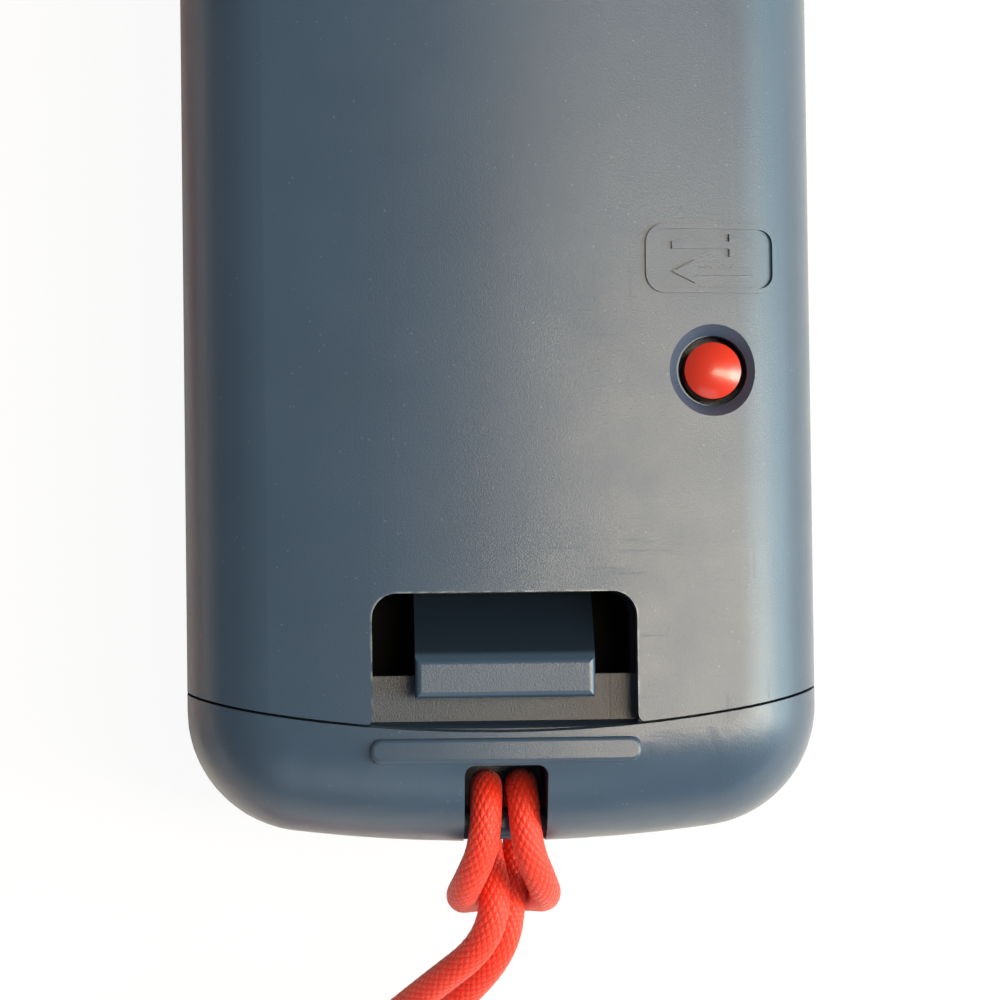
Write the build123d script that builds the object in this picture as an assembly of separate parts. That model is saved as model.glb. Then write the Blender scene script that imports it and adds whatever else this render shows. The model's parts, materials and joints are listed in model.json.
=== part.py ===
from build123d import *
import math
import os
from functools import lru_cache

# A hand-held motion controller, shaped as a slim wand, lying on its face.
# +X is to the right seen from behind, +Y points to the sensor end, +Z is the back of the wand.
# The origin is under the middle of the wand, on the table that it lies on. Millimetres throughout.

# Casing walls and rounding
wall = 1.6
crown_radius = 66.0
back_edge_radius = 6.0
front_edge_radius = 1.8
least_radius = 0.2
tail_bow_radius = 100.0
tail_corner_radius = 7.0
nose_edge_radius = 1.4
nose_cap_steps = 4
parting_level = 9.0
parting_gap = 0.1
lip_height = 1.0
cut_overrun = 4.0
face_touch = 0.05

# The stack of pieces from the table to the back
button_stand = 0.9
flange_gap = 0.05
flange_thickness = 0.8
button_travel = 0.6
travel_spare = 0.05
pill_height = 0.6
keypad_thickness = 0.3
board_thickness = 1.0
part_space = 0.8
tray_thickness = 1.0
cell_radius = 7.25
cell_gap = 0.15
cell_top_gap = 0.85

# Across the casing
cell_side_gap = 0.35
bay_side_wall = 1.2
side_gap = 0.3

# Along the casing, from the strap end to the sensor end
end_piece_length = 6.5
deck_length = 23.9
cell_length = 50.5
spring_space = 4.0
contact_thickness = 0.4
contact_gap = 0.1
bay_wall = 1.5
hump_setback = 1.1
hump_length = 10.4
trigger_reach = 25.1
pivot_to_nose = 24.0

# The hump in front of the trigger and the slimmer sensor end
nose_drop = 5.6
hump_rise = 3.1
hump_level_shares = (1.0, 0.74, 0.3, 0.08, 0.01, 0.0, 0.0, 0.0)

# Battery cover
seam_radius = 90.0
seam_gap = 0.3
seam_draft = 0.6
side_seam_drop = 9.0
cover_gap = 0.15
cover_tab_width = 4.4
cover_tab_thickness = 1.1
cover_tab_reach = 1.8
cover_tab_drop = 2.6
bay_side_rise = 2.5

# Latch cut-out and the springy tongue in it
cutout_width = 14.9
cutout_length = 7.7
cutout_corner = 1.4
cutout_lip_radius = 0.5
tongue_width = 10.1
tongue_thickness = 1.2
tongue_drop = 0.3
ledge_length = 2.0
ledge_overhang = 1.8
ledge_thickness = 1.6
ledge_radius = 0.35
tongue_slope = 3.9
tongue_rise = 3.4
tongue_root = 3.3
leg_length = 4.6
latch_axle_radius = 0.5
latch_knuckle_radius = 0.9
latch_ear_width = 1.1
latch_ear_radius = 1.3
axle_gap = 0.05
part_gap = 0.2

# End piece: latch well, ridge, strap notch and the moulded bar
block_length = 3.2
block_drop = 11.0
shelf_drop = 3.2
well_slope = 0.9
well_side_gap = 0.1
ridge_rise = 0.28
ridge_width = 15.2
ridge_length = 1.4
ridge_end_radius = 0.6
ridge_top_radius = 0.25
notch_width = 4.7
notch_length = 4.5
notch_depth = 10.2
notch_corner = 0.6
strap_bar_depth = 1.9
strap_bar_height = 2.1
strap_bar_drop = 6.05
strap_bar_radius = 0.8
strap_bar_inset = 0.1

# Sync button, its hole in the cover and the framed label field beside it
sync_x = 12.0
sync_from_seam = 20.1
sync_cap_radius = 1.6
sync_cap_height = 3.0
sync_dome_radius = 2.8
sync_hole_radius = 1.98
sync_ring_radius = 2.6
sync_ring_depth = 0.7
sync_stem_radius = 1.1
sync_collar_radius = 1.8
sync_collar_height = 0.7
sync_travel = 0.5
guide_gap = 0.15
guide_wall = 1.0
guide_height = 4.8
label_from_sync = 6.3
label_width = 7.6
label_height = 3.9
label_corner = 1.1
label_line = 0.28
relief = 0.17
arrow_length = 4.6
arrow_head = 1.3
arrow_shaft = 0.42
arrow_pitch = 1.5

# Deck under the cover, case screws and their bosses
deck_thickness = 1.2
screw_x = 12.8
tail_screw_from_seam = 14.0
nose_screw_from_nose = 17.0
screw_head_radius = 2.3
screw_head_height = 1.8
screw_shank_radius = 1.2
screw_length = 8.6
screw_slot_width = 0.7
screw_slot_depth = 0.6
screw_recess_radius = 2.9
screw_seat_depth = 5.4
boss_wall = 1.4
hole_gap = 0.25
board_post_radius = 1.1
board_post_x = 14.2
board_post_places = 5

# Front: pad, buttons, speaker holes and lamp windows, placed from either end
pad_from_nose = 22.0
pad_span = 19.0
pad_arm = 6.3
pad_corner = 0.9
pad_edge_radius = 0.45
pad_dimple_radius = 9.0
pad_dimple_depth = 0.35
pad_lip = 0.8
pad_lip_thickness = 0.5
pad_lip_drop = 0.65
pad_gap = 0.35
stud_radius = 1.3
stud_gap = 0.2
stud_depth = 1.2
a_from_nose = 47.0
a_radius = 6.15
row_from_nose = 65.0
row_x = 10.0
small_radius = 3.0
power_from_nose = 9.0
power_x = 11.0
power_radius = 2.3
one_from_tail = 42.0
two_from_tail = 30.0
number_radius = 4.2
button_gap = 0.2
flange_lip = 0.75
button_edge_radius = 0.35
pill_inset = 0.6
speaker_from_tail = 63.0
speaker_radius = 8.0
speaker_height = 3.5
speaker_rim = 1.0
sound_hole_radius = 0.55
sound_hole_pitch = 2.3
sound_rows = 5
lamp_from_tail = 15.0
lamp_pitch = 5.2
lamp_count = 4
lamp_window = 1.6
lens_stand = 0.9
lens_flange = 0.5
lamp_size = 1.0
lamp_height = 0.8
keypad_half = 10.1
keypad_row_half = 13.2
keypad_margin = 1.0

# Circuit board and what stands on it
board_gap = 0.5
board_nose_gap = 5.2
chip_thickness = 0.7
radio_size = (11.0, 9.0)
radio_from_bay = 6.6
radio_x = -3.5
radio_height = 1.9
accelerometer_size = (4.0, 4.0)
gyroscope_size = (5.0, 4.0)
accelerometer_from_pivot = 6.5
gyroscope_from_pivot = 1.5
sensor_chip_x = 4.5
capacitor_radius = 1.5
capacitor_height = 4.2
capacitor_pitch = 4.2
capacitor_count = 4
capacitor_x = 11.6
switch_size = 4.6
switch_height = 1.6
switch_plunger_radius = 1.2
switch_plunger_height = 0.5

# Cells, springs and contacts
cell_nub_radius = 2.6
cell_nub_height = 1.1
cell_shrink = 0.5
spring_wire_radius = 0.3
spring_wide_radius = 4.2
spring_narrow_radius = 2.6
spring_turns = 4
spring_pitch = 0.88
contact_half = 5.2
bridge_half = 13.2
contact_height = 9.0

# Trigger, its pin and the little board and dome under it
trigger_width = 17.0
trigger_gap = 0.35
trigger_corner_level = 31.62
trigger_tip_radius = 1.3
trigger_edge_radius = 1.6
trigger_wall = 1.4
trigger_end = 5.6
trigger_inset = 0.15
trigger_heel_drop = 5.0
trigger_scoop_share = 0.5
trigger_scoop_rise_share = 0.25
trigger_belly_share = 0.24
trigger_belly_drop = 2.2
pivot_drop = 3.1
pin_radius = 1.0
pin_gap = 0.05
pivot_boss_radius = 2.3
ear_width = 2.4
ear_length = 5.0
dome_from_pivot = 19.0
dome_foot_radius = 3.2
dome_top_radius = 1.9
dome_height = 3.4
dome_wall = 0.6
dome_gap = 0.1
plunger_half = 1.5
trigger_board_level = 12.0
trigger_board_length = 13.0
trigger_board_width = 13.0
bracket_thickness = 1.0
bracket_leg = 1.6

# Rumble motor and its weight
motor_radius = 3.5
motor_length = 10.0
motor_x = 12.3
motor_from_hump = 3.2
motor_lift = 0.35
motor_shaft_radius = 0.5
motor_shaft_length = 7.4
weight_radius = 3.2
weight_length = 5.0
weight_gap = 1.2
cradle_wall = 0.8

# Sensor window and infrared camera
window_width = 27.0
window_low = 3.6
window_height = 10.6
window_corner = 2.0
window_gap = 0.1
window_thickness = 1.5
window_inset = 0.15
camera_width = 9.0
camera_length = 5.6
camera_height = 8.2
camera_gap = 3.2
lens_radius = 2.7
lens_length = 2.6
lens_bore_radius = 1.7
lens_bore_depth = 0.9

# Expansion socket
socket_width = 17.0
socket_length = 12.0
socket_height = 7.6
socket_lift = 0.1
socket_inset = 0.5
mouth_width = 12.4
mouth_height = 5.6
mouth_depth = 9.5
tongue_inset = 4.6
socket_tongue_width = 9.6
socket_tongue_thickness = 1.4
contact_count = 6
contact_pitch = 1.4
contact_width = 0.8
contact_strip = 0.2
socket_gap = 0.2

# Strap: one closed cord hitched on the bar, its ferrule, the wrist band and the slider
cord_diameter = 1.8
cord_route = (
    (-44.95, -88.0, 1.9),
    (-44.95, -92.6, 1.9),
    (-40.8, -98.2, 0.9),
    (-34.4, -100.6, 0.9),
    (-28.2, -99.6, 0.9),
    (-19.6, -95.6, 1.5),
    (-13.0, -90.2, 4.4),
    (-7.9, -86.0, 9.0),
    (-4.1, -82.6, 13.8),
    (-1.2, -80.2, 16.6),
    (-0.35, -77.3, 17.5),
    (-1.0, -74.6, 15.9),
    (-1.0, -70.75, 16.1),
    (-1.0, -70.75, 20.9),
    (-1.2, -74.2, 21.0),
    (-2.1, -76.3, 19.3),
    (-2.55, -77.4, 16.1),
    (-1.75, -77.5, 12.9),
    (1.75, -77.5, 12.8),
    (2.55, -77.4, 16.0),
    (2.1, -76.3, 19.2),
    (1.2, -74.2, 21.0),
    (1.0, -70.75, 20.9),
    (1.0, -70.75, 16.1),
    (0.95, -74.4, 15.5),
    (0.5, -77.2, 15.3),
    (0.1, -80.4, 14.8),
    (-2.4, -83.6, 11.8),
    (-6.8, -87.2, 6.8),
    (-12.0, -92.6, 2.6),
    (-18.6, -97.9, 1.1),
    (-27.6, -101.8, 0.9),
    (-34.4, -102.9, 0.9),
    (-41.8, -100.4, 0.9),
    (-47.0, -93.6, 1.9),
    (-47.0, -88.0, 1.9),
)
fold_share = 0.45
ferrule_middle = (-45.975, -84.0, 1.9)
ferrule_length = 8.0
ferrule_width = 7.0
ferrule_height = 3.8
ferrule_radius = 1.2
band_width = 5.0
band_thickness = 1.2
band_route = (
    (-45.2, -80.0),
    (-45.2, -53.0),
    (-36.0, -27.5),
    (-24.5, -8.0),
    (-24.5, 2.45),
    (-27.95, 8.43),
    (-33.93, 11.88),
    (-40.83, 11.88),
    (-46.81, 8.43),
    (-50.26, 2.45),
    (-50.26, -24.0),
    (-46.75, -53.0),
    (-46.75, -80.0),
)
slider_length = 6.0
slider_width = 6.4
slider_height = 6.6
slider_radius = 1.1
slider_bore_gap = 0.2
slider_from_ferrule = 1.5

# Places worked out from the sizes above
face_level = button_stand
inner_face = face_level + wall
flange_low = inner_face + flange_gap
flange_high = flange_low + flange_thickness
pill_low = flange_high + button_travel + travel_spare
board_low = pill_low + pill_height
board_high = board_low + board_thickness
tray_low = board_high + part_space
tray_high = tray_low + tray_thickness
cell_axis = tray_high + cell_gap + cell_radius
back_level = cell_axis + cell_radius + cell_top_gap + wall
nose_level = back_level - nose_drop
cell_x = cell_radius + cell_gap
bay_half = cell_x + cell_radius + cell_side_gap
half_width = bay_half + bay_side_wall + side_gap + wall
bay_length = cell_length + spring_space + 2 * contact_thickness + 2 * contact_gap
body_length = (
    end_piece_length + deck_length + bay_length + bay_wall
    + hump_setback + hump_length + trigger_reach + pivot_to_nose
)
tail_y = -body_length / 2
nose_y = body_length / 2
seam_y = tail_y + end_piece_length
bay_tail_y = seam_y + deck_length
bay_nose_y = bay_tail_y + bay_length
cover_nose_y = bay_nose_y + bay_wall
hump_y = cover_nose_y + hump_setback
tip_y = hump_y + hump_length
pivot_y = tip_y + trigger_reach
pivot_z = nose_level - pivot_drop
side_seam = back_level - side_seam_drop
deck_high = side_seam - cover_gap - face_touch
deck_low = deck_high - deck_thickness
block_low = back_level - block_drop
shelf_level = back_level - shelf_drop
shelf_y = seam_y - cover_gap + block_length
trigger_half = trigger_width / 2
trigger_radius = math.hypot(trigger_reach, trigger_corner_level - pivot_z)


def block(x, y, z):
    """A box from its low and high places along X, Y and Z."""
    sizes = [high - low for low, high in (x, y, z)]
    middle = [(high + low) / 2 for low, high in (x, y, z)]
    return Pos(*middle) * Box(*sizes)


def disc(x, y, low, high, radius):
    """An upright cylinder."""
    return Pos(x, y, (low + high) / 2) * Cylinder(radius, high - low)


def rod_along_x(x, y, z, radius):
    """A cylinder across the wand, x being its low and high ends."""
    low, high = x
    return Pos((low + high) / 2, y, z) * Rot(0, 90, 0) * Cylinder(radius, high - low)


def rod_along_y(x, y, z, radius):
    """A cylinder along the wand, y being its low and high ends."""
    low, high = y
    return Pos(x, (low + high) / 2, z) * Rot(90, 0, 0) * Cylinder(radius, high - low)


def across(low, high):
    """A span that is the same on both sides of the middle plane, low and high being distances."""
    return ((-high, -low), (low, high))


def side_prism(face, half):
    """A side view, drawn in Y and Z, made as wide as two halves."""
    return extrude(Plane.YZ * face, amount=half, both=True)


def polygon(*points):
    """A face with straight sides."""
    return make_face(Polyline(*points, close=True))


def rounded_field(width, height, radius):
    """A rectangle with round corners."""
    return RectangleRounded(width, height, radius)


def crown_height(x):
    """Height of the back over the battery bay, at a distance from the middle plane."""
    return back_level - crown_radius + math.sqrt(crown_radius**2 - x**2)


def plan_outline(inset):
    """Plan view of the casing up to the hump: bowed end with round corners."""
    half = half_width - inset
    tail = tail_y + inset
    bow = tail_bow_radius - inset
    shoulder = tail + bow - math.sqrt(bow**2 - half**2)
    sides = Polyline((-half, shoulder), (-half, hump_y), (half, hump_y), (half, shoulder))
    bowed_end = ThreePointArc((half, shoulder), (0, tail), (-half, shoulder))
    face = make_face(sides + bowed_end)
    corners = face.vertices().sort_by(Axis.Y)[:2]
    return fillet(corners, tail_corner_radius - inset)


def cross_section(level, inset):
    """The casing cut across: flat face, upright sides, round back edges, crowned back."""
    half = half_width - inset
    base = face_level + inset
    top = level - inset
    crown = crown_radius - inset
    edge = back_edge_radius - inset
    foot = max(front_edge_radius - inset, least_radius)
    crown_z = top - crown
    edge_x = half - edge
    edge_z = crown_z + math.sqrt((crown - edge) ** 2 - edge_x**2)
    join_x = edge_x * crown / (crown - edge)
    join_z = crown_z + (edge_z - crown_z) * crown / (crown - edge)
    turn = math.atan2(edge_z - crown_z, edge_x) / 2
    knee_x = edge_x + edge * math.cos(turn)
    knee_z = edge_z + edge * math.sin(turn)
    foot_x = half - foot + foot * math.sin(math.pi / 4)
    foot_z = base + foot - foot * math.sin(math.pi / 4)
    lines = [
        Line((foot - half, base), (half - foot, base)),
        ThreePointArc((half - foot, base), (foot_x, foot_z), (half, base + foot)),
        Line((half, base + foot), (half, edge_z)),
        ThreePointArc((half, edge_z), (knee_x, knee_z), (join_x, join_z)),
        ThreePointArc((join_x, join_z), (0, top), (-join_x, join_z)),
        ThreePointArc((-join_x, join_z), (-knee_x, knee_z), (-half, edge_z)),
        Line((-half, edge_z), (-half, base + foot)),
        ThreePointArc((-half, base + foot), (-foot_x, foot_z), (foot - half, base)),
    ]
    return make_face(lines)


def nose_stations(inset):
    """Places along Y and the height of the back there, evenly spaced from the hump to the nose."""
    end_y = nose_y - max(inset, nose_edge_radius)
    crest = back_level + hump_rise
    levels = [back_level] + [nose_level + share * (crest - nose_level) for share in hump_level_shares]
    step = (end_y - hump_y) / (len(levels) - 1)
    return [(hump_y + i * step, level) for i, level in enumerate(levels)]


def nose_cap(inset):
    """The last stretch of the nose, whose edges turn in along a quarter of a circle."""
    radius = nose_edge_radius - inset
    sections = []
    for i in range(nose_cap_steps + 1):
        angle = math.pi / 2 * i / nose_cap_steps
        y = nose_y - nose_edge_radius + radius * math.sin(angle)
        drawn_in = inset + radius * (1 - math.cos(angle))
        sections.append(Plane.XZ.offset(-y) * cross_section(nose_level, drawn_in))
    return loft(sections)


@lru_cache(maxsize=None)
def barrel(inset):
    """The casing's outer form, drawn in by an inset all round."""
    base = face_level + inset
    tail_half = extrude(Pos(0, 0, base) * plan_outline(inset), back_level - base)
    axis_z = back_level - crown_radius
    reach = (tail_y - cut_overrun, hump_y + cut_overrun)
    tail_half = tail_half & rod_along_y(0, reach, axis_z, crown_radius - inset)
    crown = tail_half.faces().sort_by(Axis.Z)[-1]
    back_edges = crown.edges().sort_by(Axis.Y)[:-1]
    tail_half = fillet(back_edges, back_edge_radius - inset)
    foot_edges = tail_half.edges().group_by(Axis.Z)[0].sort_by(Axis.Y)[:-1]
    tail_half = fillet(foot_edges, max(front_edge_radius - inset, least_radius))
    sections = []
    for y, level in nose_stations(inset):
        sections.append(Plane.XZ.offset(-y) * cross_section(level, inset))
    casing = tail_half + loft(sections)
    return casing + nose_cap(inset) if inset < nose_edge_radius else casing


@lru_cache(maxsize=None)
def casing_shell():
    """The wall of the casing, all round."""
    return barrel(0.0) - barrel(wall)


def cover_space(grow):
    """The space of the battery cover: bowed at the strap end, with a little draft."""
    low = side_seam - grow
    high = back_level + cut_overrun
    bow = seam_radius + grow
    foot = bow - seam_draft * (back_level - low) / side_seam_drop
    head = bow + seam_draft * (high - back_level) / side_seam_drop
    middle_y = seam_y + seam_radius
    bowed = Pos(0, middle_y, (low + high) / 2) * Cone(foot, head, high - low)
    wide = half_width + cut_overrun
    return bowed & block((-wide, wide), (tail_y - cut_overrun, cover_nose_y + grow), (low, high))


def trigger_slot(gap):
    """The space that the trigger needs in the back of the casing."""
    wide = trigger_half + gap
    length = (hump_y, pivot_y + trigger_end + gap)
    room = block((-wide, wide), length, (pivot_z - pivot_boss_radius, trigger_corner_level + cut_overrun))
    return room & rod_along_x((-wide, wide), pivot_y, pivot_z, trigger_radius + gap)


def socket_middle():
    """Height of the middle of the expansion socket."""
    return board_high + socket_lift + socket_height / 2


def socket_opening(gap):
    """The opening for the socket in the casing's end."""
    wide = socket_width / 2 + gap
    tall = socket_height / 2 + gap
    middle = socket_middle()
    return block((-wide, wide), (tail_y - cut_overrun, seam_y), (middle - tall, middle + tall))


def window_opening(gap):
    """The opening for the sensor window in the casing's nose."""
    face = rounded_field(window_width + 2 * gap, window_height + 2 * gap, window_corner + gap)
    middle = window_low + window_height / 2
    placed = Plane.XZ.offset(-nose_y - cut_overrun) * Pos(0, middle) * face
    return extrude(placed, wall + 2 * cut_overrun)


def screw_places():
    """Middle of each case screw and whether it is at the nose."""
    tail_row = seam_y + tail_screw_from_seam
    nose_row = nose_y - nose_screw_from_nose
    return [(side * screw_x, y, y == nose_row) for y in (tail_row, nose_row) for side in (-1, 1)]


def screw_seat(at_nose):
    """Height of the underside of a screw's head."""
    return nose_level - screw_seat_depth if at_nose else deck_high


def board_post_ys():
    """Places along Y of the posts that carry the board."""
    first = bay_tail_y + board_post_x / 2
    last = pivot_y - ear_length
    step = (last - first) / (board_post_places - 1)
    return [first + i * step for i in range(board_post_places)]


pad_y = nose_y - pad_from_nose
a_y = nose_y - a_from_nose
row_y = nose_y - row_from_nose
power_y = nose_y - power_from_nose
one_y = tail_y + one_from_tail
two_y = tail_y + two_from_tail
speaker_y = tail_y + speaker_from_tail
lamp_y = tail_y + lamp_from_tail

round_buttons = {
    "a_button": (0.0, a_y, a_radius),
    "minus_button": (-row_x, row_y, small_radius),
    "home_button": (0.0, row_y, small_radius),
    "plus_button": (row_x, row_y, small_radius),
    "one_button": (0.0, one_y, number_radius),
    "two_button": (0.0, two_y, number_radius),
    "power_button": (power_x, power_y, power_radius),
}


def lamp_xs():
    """Places along X of the lamps."""
    return [(i - (lamp_count - 1) / 2) * lamp_pitch for i in range(lamp_count)]


def sound_holes():
    """Places of the speaker holes: rows that widen to the middle."""
    middle = sound_rows // 2
    places = []
    for row in range(sound_rows):
        count = sound_rows - abs(row - middle)
        y = speaker_y + (row - middle) * sound_hole_pitch * math.sin(math.pi / 3)
        places += [((i - (count - 1) / 2) * sound_hole_pitch, y) for i in range(count)]
    return places


def pad_cross(grow):
    """Plan of the directional pad, drawn out by a margin."""
    long = pad_span + 2 * grow
    arm = pad_arm + 2 * grow
    cross = Rectangle(long, arm) + Rectangle(arm, long)
    return fillet(cross.vertices(), pad_corner)


def front_cover():
    """The face half of the casing, with its holes, bosses and posts."""
    wide = half_width + cut_overrun
    length = (tail_y - cut_overrun, nose_y + cut_overrun)
    cover = casing_shell() & block((-wide, wide), length, (face_level - cut_overrun, parting_level))
    cover -= socket_opening(socket_gap)
    cover -= window_opening(window_gap)
    low = face_level - cut_overrun
    high = inner_face + face_touch
    for x, y, radius in round_buttons.values():
        cover -= disc(x, y, low, high, radius + button_gap)
    cover -= extrude(Pos(0, pad_y, low) * pad_cross(pad_gap), high - low)
    for x, y in sound_holes():
        cover -= disc(x, y, low, high, sound_hole_radius)
    window = lamp_window / 2 + window_gap
    for x in lamp_xs():
        cover -= block((x - window, x + window), (lamp_y - window, lamp_y + window), (low, high))
    touch = inner_face - face_touch
    for x, y, _ in screw_places():
        boss = disc(x, y, touch, parting_level, screw_shank_radius + boss_wall)
        cover += boss - disc(x, y, inner_face + wall, parting_level + wall, screw_shank_radius)
    for y in board_post_ys():
        for side in (-1, 1):
            cover += disc(side * board_post_x, y, touch, board_low, board_post_radius)
    ring = disc(0, speaker_y, touch, inner_face + speaker_rim, speaker_radius + cell_gap + speaker_rim)
    cover += ring - disc(0, speaker_y, touch - wall, inner_face + wall, speaker_radius + cell_gap)
    return cover


def battery_tub():
    """The tray that holds the two cells, open at the top."""
    outer = bay_half + bay_side_wall
    tail = bay_tail_y - bay_wall
    side_high = side_seam + bay_side_rise
    floor = block((-outer, outer), (tail, cover_nose_y), (tray_low, tray_high))
    tub = floor
    for low, high in across(bay_half, outer):
        tub += block((low, high), (tail, cover_nose_y), (tray_low, side_high))
    for low, high in across(bay_half, half_width - wall + face_touch):
        foot = parting_level + parting_gap + lip_height
        tub += block((low, high), (tail, cover_nose_y), (foot, deck_high))
    end_high = crown_height(bay_half) - back_edge_radius / 2
    tub += block((-outer, outer), (tail, bay_tail_y), (tray_low, side_high))
    tub += block((-bay_half, bay_half), (tail, bay_tail_y), (tray_low, end_high))
    tub += block((-outer, outer), (bay_nose_y, cover_nose_y), (tray_low, side_high))
    keel = cell_x - cell_radius + cell_gap
    tub += block((-keel, keel), (bay_tail_y, bay_nose_y), (tray_high, tray_high + bay_wall))
    return tub


def end_block():
    """The solid end under the strap notch, with the latch well and the ridge."""
    wide = half_width + cut_overrun
    tail = tail_y - cut_overrun
    high = back_level + cut_overrun
    beyond = block((-wide, wide), (tail, shelf_y), (block_low, high))
    end = (barrel(0.0) & beyond) - cover_space(seam_gap)
    end += barrel(wall + cover_gap) & beyond
    well_half = cutout_width / 2 + well_side_gap
    foot_y = seam_y + well_slope / 2
    well = polygon(
        (shelf_y + cut_overrun, shelf_level),
        (foot_y, shelf_level),
        (foot_y - well_slope, back_level),
        (foot_y - well_slope, high),
        (shelf_y + cut_overrun, high),
    )
    end -= side_prism(well, well_half)
    return end + ridge(foot_y - well_slope)


def ridge(start_y):
    """The raised ridge between the latch well and the strap notch."""
    middle_y = start_y - ridge_length / 2
    bar = extrude(
        Pos(0, middle_y, shelf_level) * rounded_field(ridge_width, ridge_length, ridge_end_radius),
        shelf_drop + ridge_rise,
    )
    axis_z = back_level - crown_radius
    reach = (tail_y, seam_y + cut_overrun)
    bar = bar & rod_along_y(0, reach, axis_z, crown_radius + ridge_rise)
    return fillet(bar.faces().sort_by(Axis.Z)[-1].edges(), ridge_top_radius)


def strap_notch():
    """The open notch for the cord."""
    low = back_level - notch_depth
    run = notch_length + cut_overrun + notch_corner
    field = Pos(0, tail_y + notch_length - run / 2) * rounded_field(notch_width, run, notch_corner)
    return extrude(Pos(0, 0, low) * field, notch_depth + cut_overrun)


def strap_bar():
    """The moulded bar that the cord is hitched on."""
    half = notch_width / 2 + strap_bar_radius
    low_y = tail_y + strap_bar_inset / 2
    middle_y = low_y + strap_bar_depth / 2
    face = rounded_field(strap_bar_depth, strap_bar_height, strap_bar_radius)
    bar = side_prism(Pos(middle_y, back_level - strap_bar_drop) * face, half)
    return bar & barrel(strap_bar_inset)


def trigger_ears():
    """The two ears under the skin that hold the trigger's pin."""
    low = pivot_z - pivot_boss_radius
    ears = []
    for span in across(trigger_half + trigger_gap, trigger_half + trigger_gap + ear_width):
        length = (pivot_y - ear_length / 2, pivot_y + ear_length / 2)
        ears.append(block(span, length, (low, nose_level)))
    return ears


def back_cover():
    """The back half of the casing: tub, deck, end block, hump and bosses."""
    wide = half_width + cut_overrun
    length = (tail_y - cut_overrun, nose_y + cut_overrun)
    low = parting_level + parting_gap
    cover = casing_shell() & block((-wide, wide), length, (low, trigger_corner_level))
    kept_tail = block((-wide, wide), (tail_y, seam_y - seam_gap), (low, trigger_corner_level))
    cover -= cover_space(seam_gap / 2) - kept_tail
    inner = barrel(wall - face_touch)
    deck = block((-half_width, half_width), (shelf_y - face_touch, bay_tail_y), (deck_low, deck_high))
    cover += deck & inner
    cover += battery_tub()
    cover += end_block()
    for ear in trigger_ears():
        cover += ear & barrel(wall / 2)
    sync_y = seam_y + sync_from_seam
    guide_radius = sync_stem_radius + guide_gap
    cover += disc(sync_x, sync_y, deck_low, deck_low + guide_height, guide_radius + guide_wall)
    for x, y, at_nose in screw_places():
        seat = screw_seat(at_nose)
        boss = disc(x, y, low, seat, screw_shank_radius + boss_wall)
        rim = disc(x, y, seat - wall, nose_level, screw_recess_radius + boss_wall / 2)
        cover += boss + (rim & barrel(wall / 2)) if at_nose else boss
    for x, y, at_nose in screw_places():
        seat = screw_seat(at_nose)
        cover -= disc(x, y, low - wall, seat + wall, screw_shank_radius + hole_gap)
        cover -= disc(x, y, seat, trigger_corner_level, screw_recess_radius)
    cover -= disc(sync_x, sync_y, low, trigger_corner_level, guide_radius)
    cover -= socket_opening(socket_gap)
    cover -= window_opening(window_gap)
    cover -= trigger_slot(trigger_gap)
    cover -= strap_notch()
    cover += strap_bar()
    ear_end = trigger_half + trigger_gap + ear_width
    cover -= rod_along_x((-ear_end - pin_gap, ear_end + pin_gap), pivot_y, pivot_z, pin_radius)
    return cover


def raised(face):
    """A flat outline raised on the back as a shallow relief."""
    column = extrude(Pos(0, 0, side_seam) * face, side_seam_drop + relief)
    return column & (barrel(-relief) - barrel(wall / 2))


def label_field():
    """The framed field beside the sync button, with two opposed arrows."""
    middle = (sync_x, seam_y + sync_from_seam + label_from_sync)
    frame = rounded_field(label_width, label_height, label_corner)
    both = 2 * label_line
    inner = rounded_field(label_width - both, label_height - both, label_corner - label_line)
    pieces = [Pos(*middle) * (frame - inner)]
    half = arrow_length / 2
    for side in (-1, 1):
        shaft = arrow_shaft / 2
        arrow = polygon(
            (half, 0),
            (half - arrow_head, arrow_head / 2),
            (half - arrow_head, shaft),
            (-half, shaft),
            (-half, -shaft),
            (half - arrow_head, -shaft),
            (half - arrow_head, -arrow_head / 2),
        )
        turned = Rot(0, 0, 90 - 90 * side) * arrow
        pieces.append(Pos(middle[0], middle[1] + side * arrow_pitch / 2) * turned)
    return pieces


def latch_axis():
    """Place along Y and Z of the latch's root."""
    y = seam_y + ledge_overhang + ledge_length + tongue_slope + tongue_root
    z = back_level - tongue_drop - tongue_rise - tongue_thickness / 2
    return y, z


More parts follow.
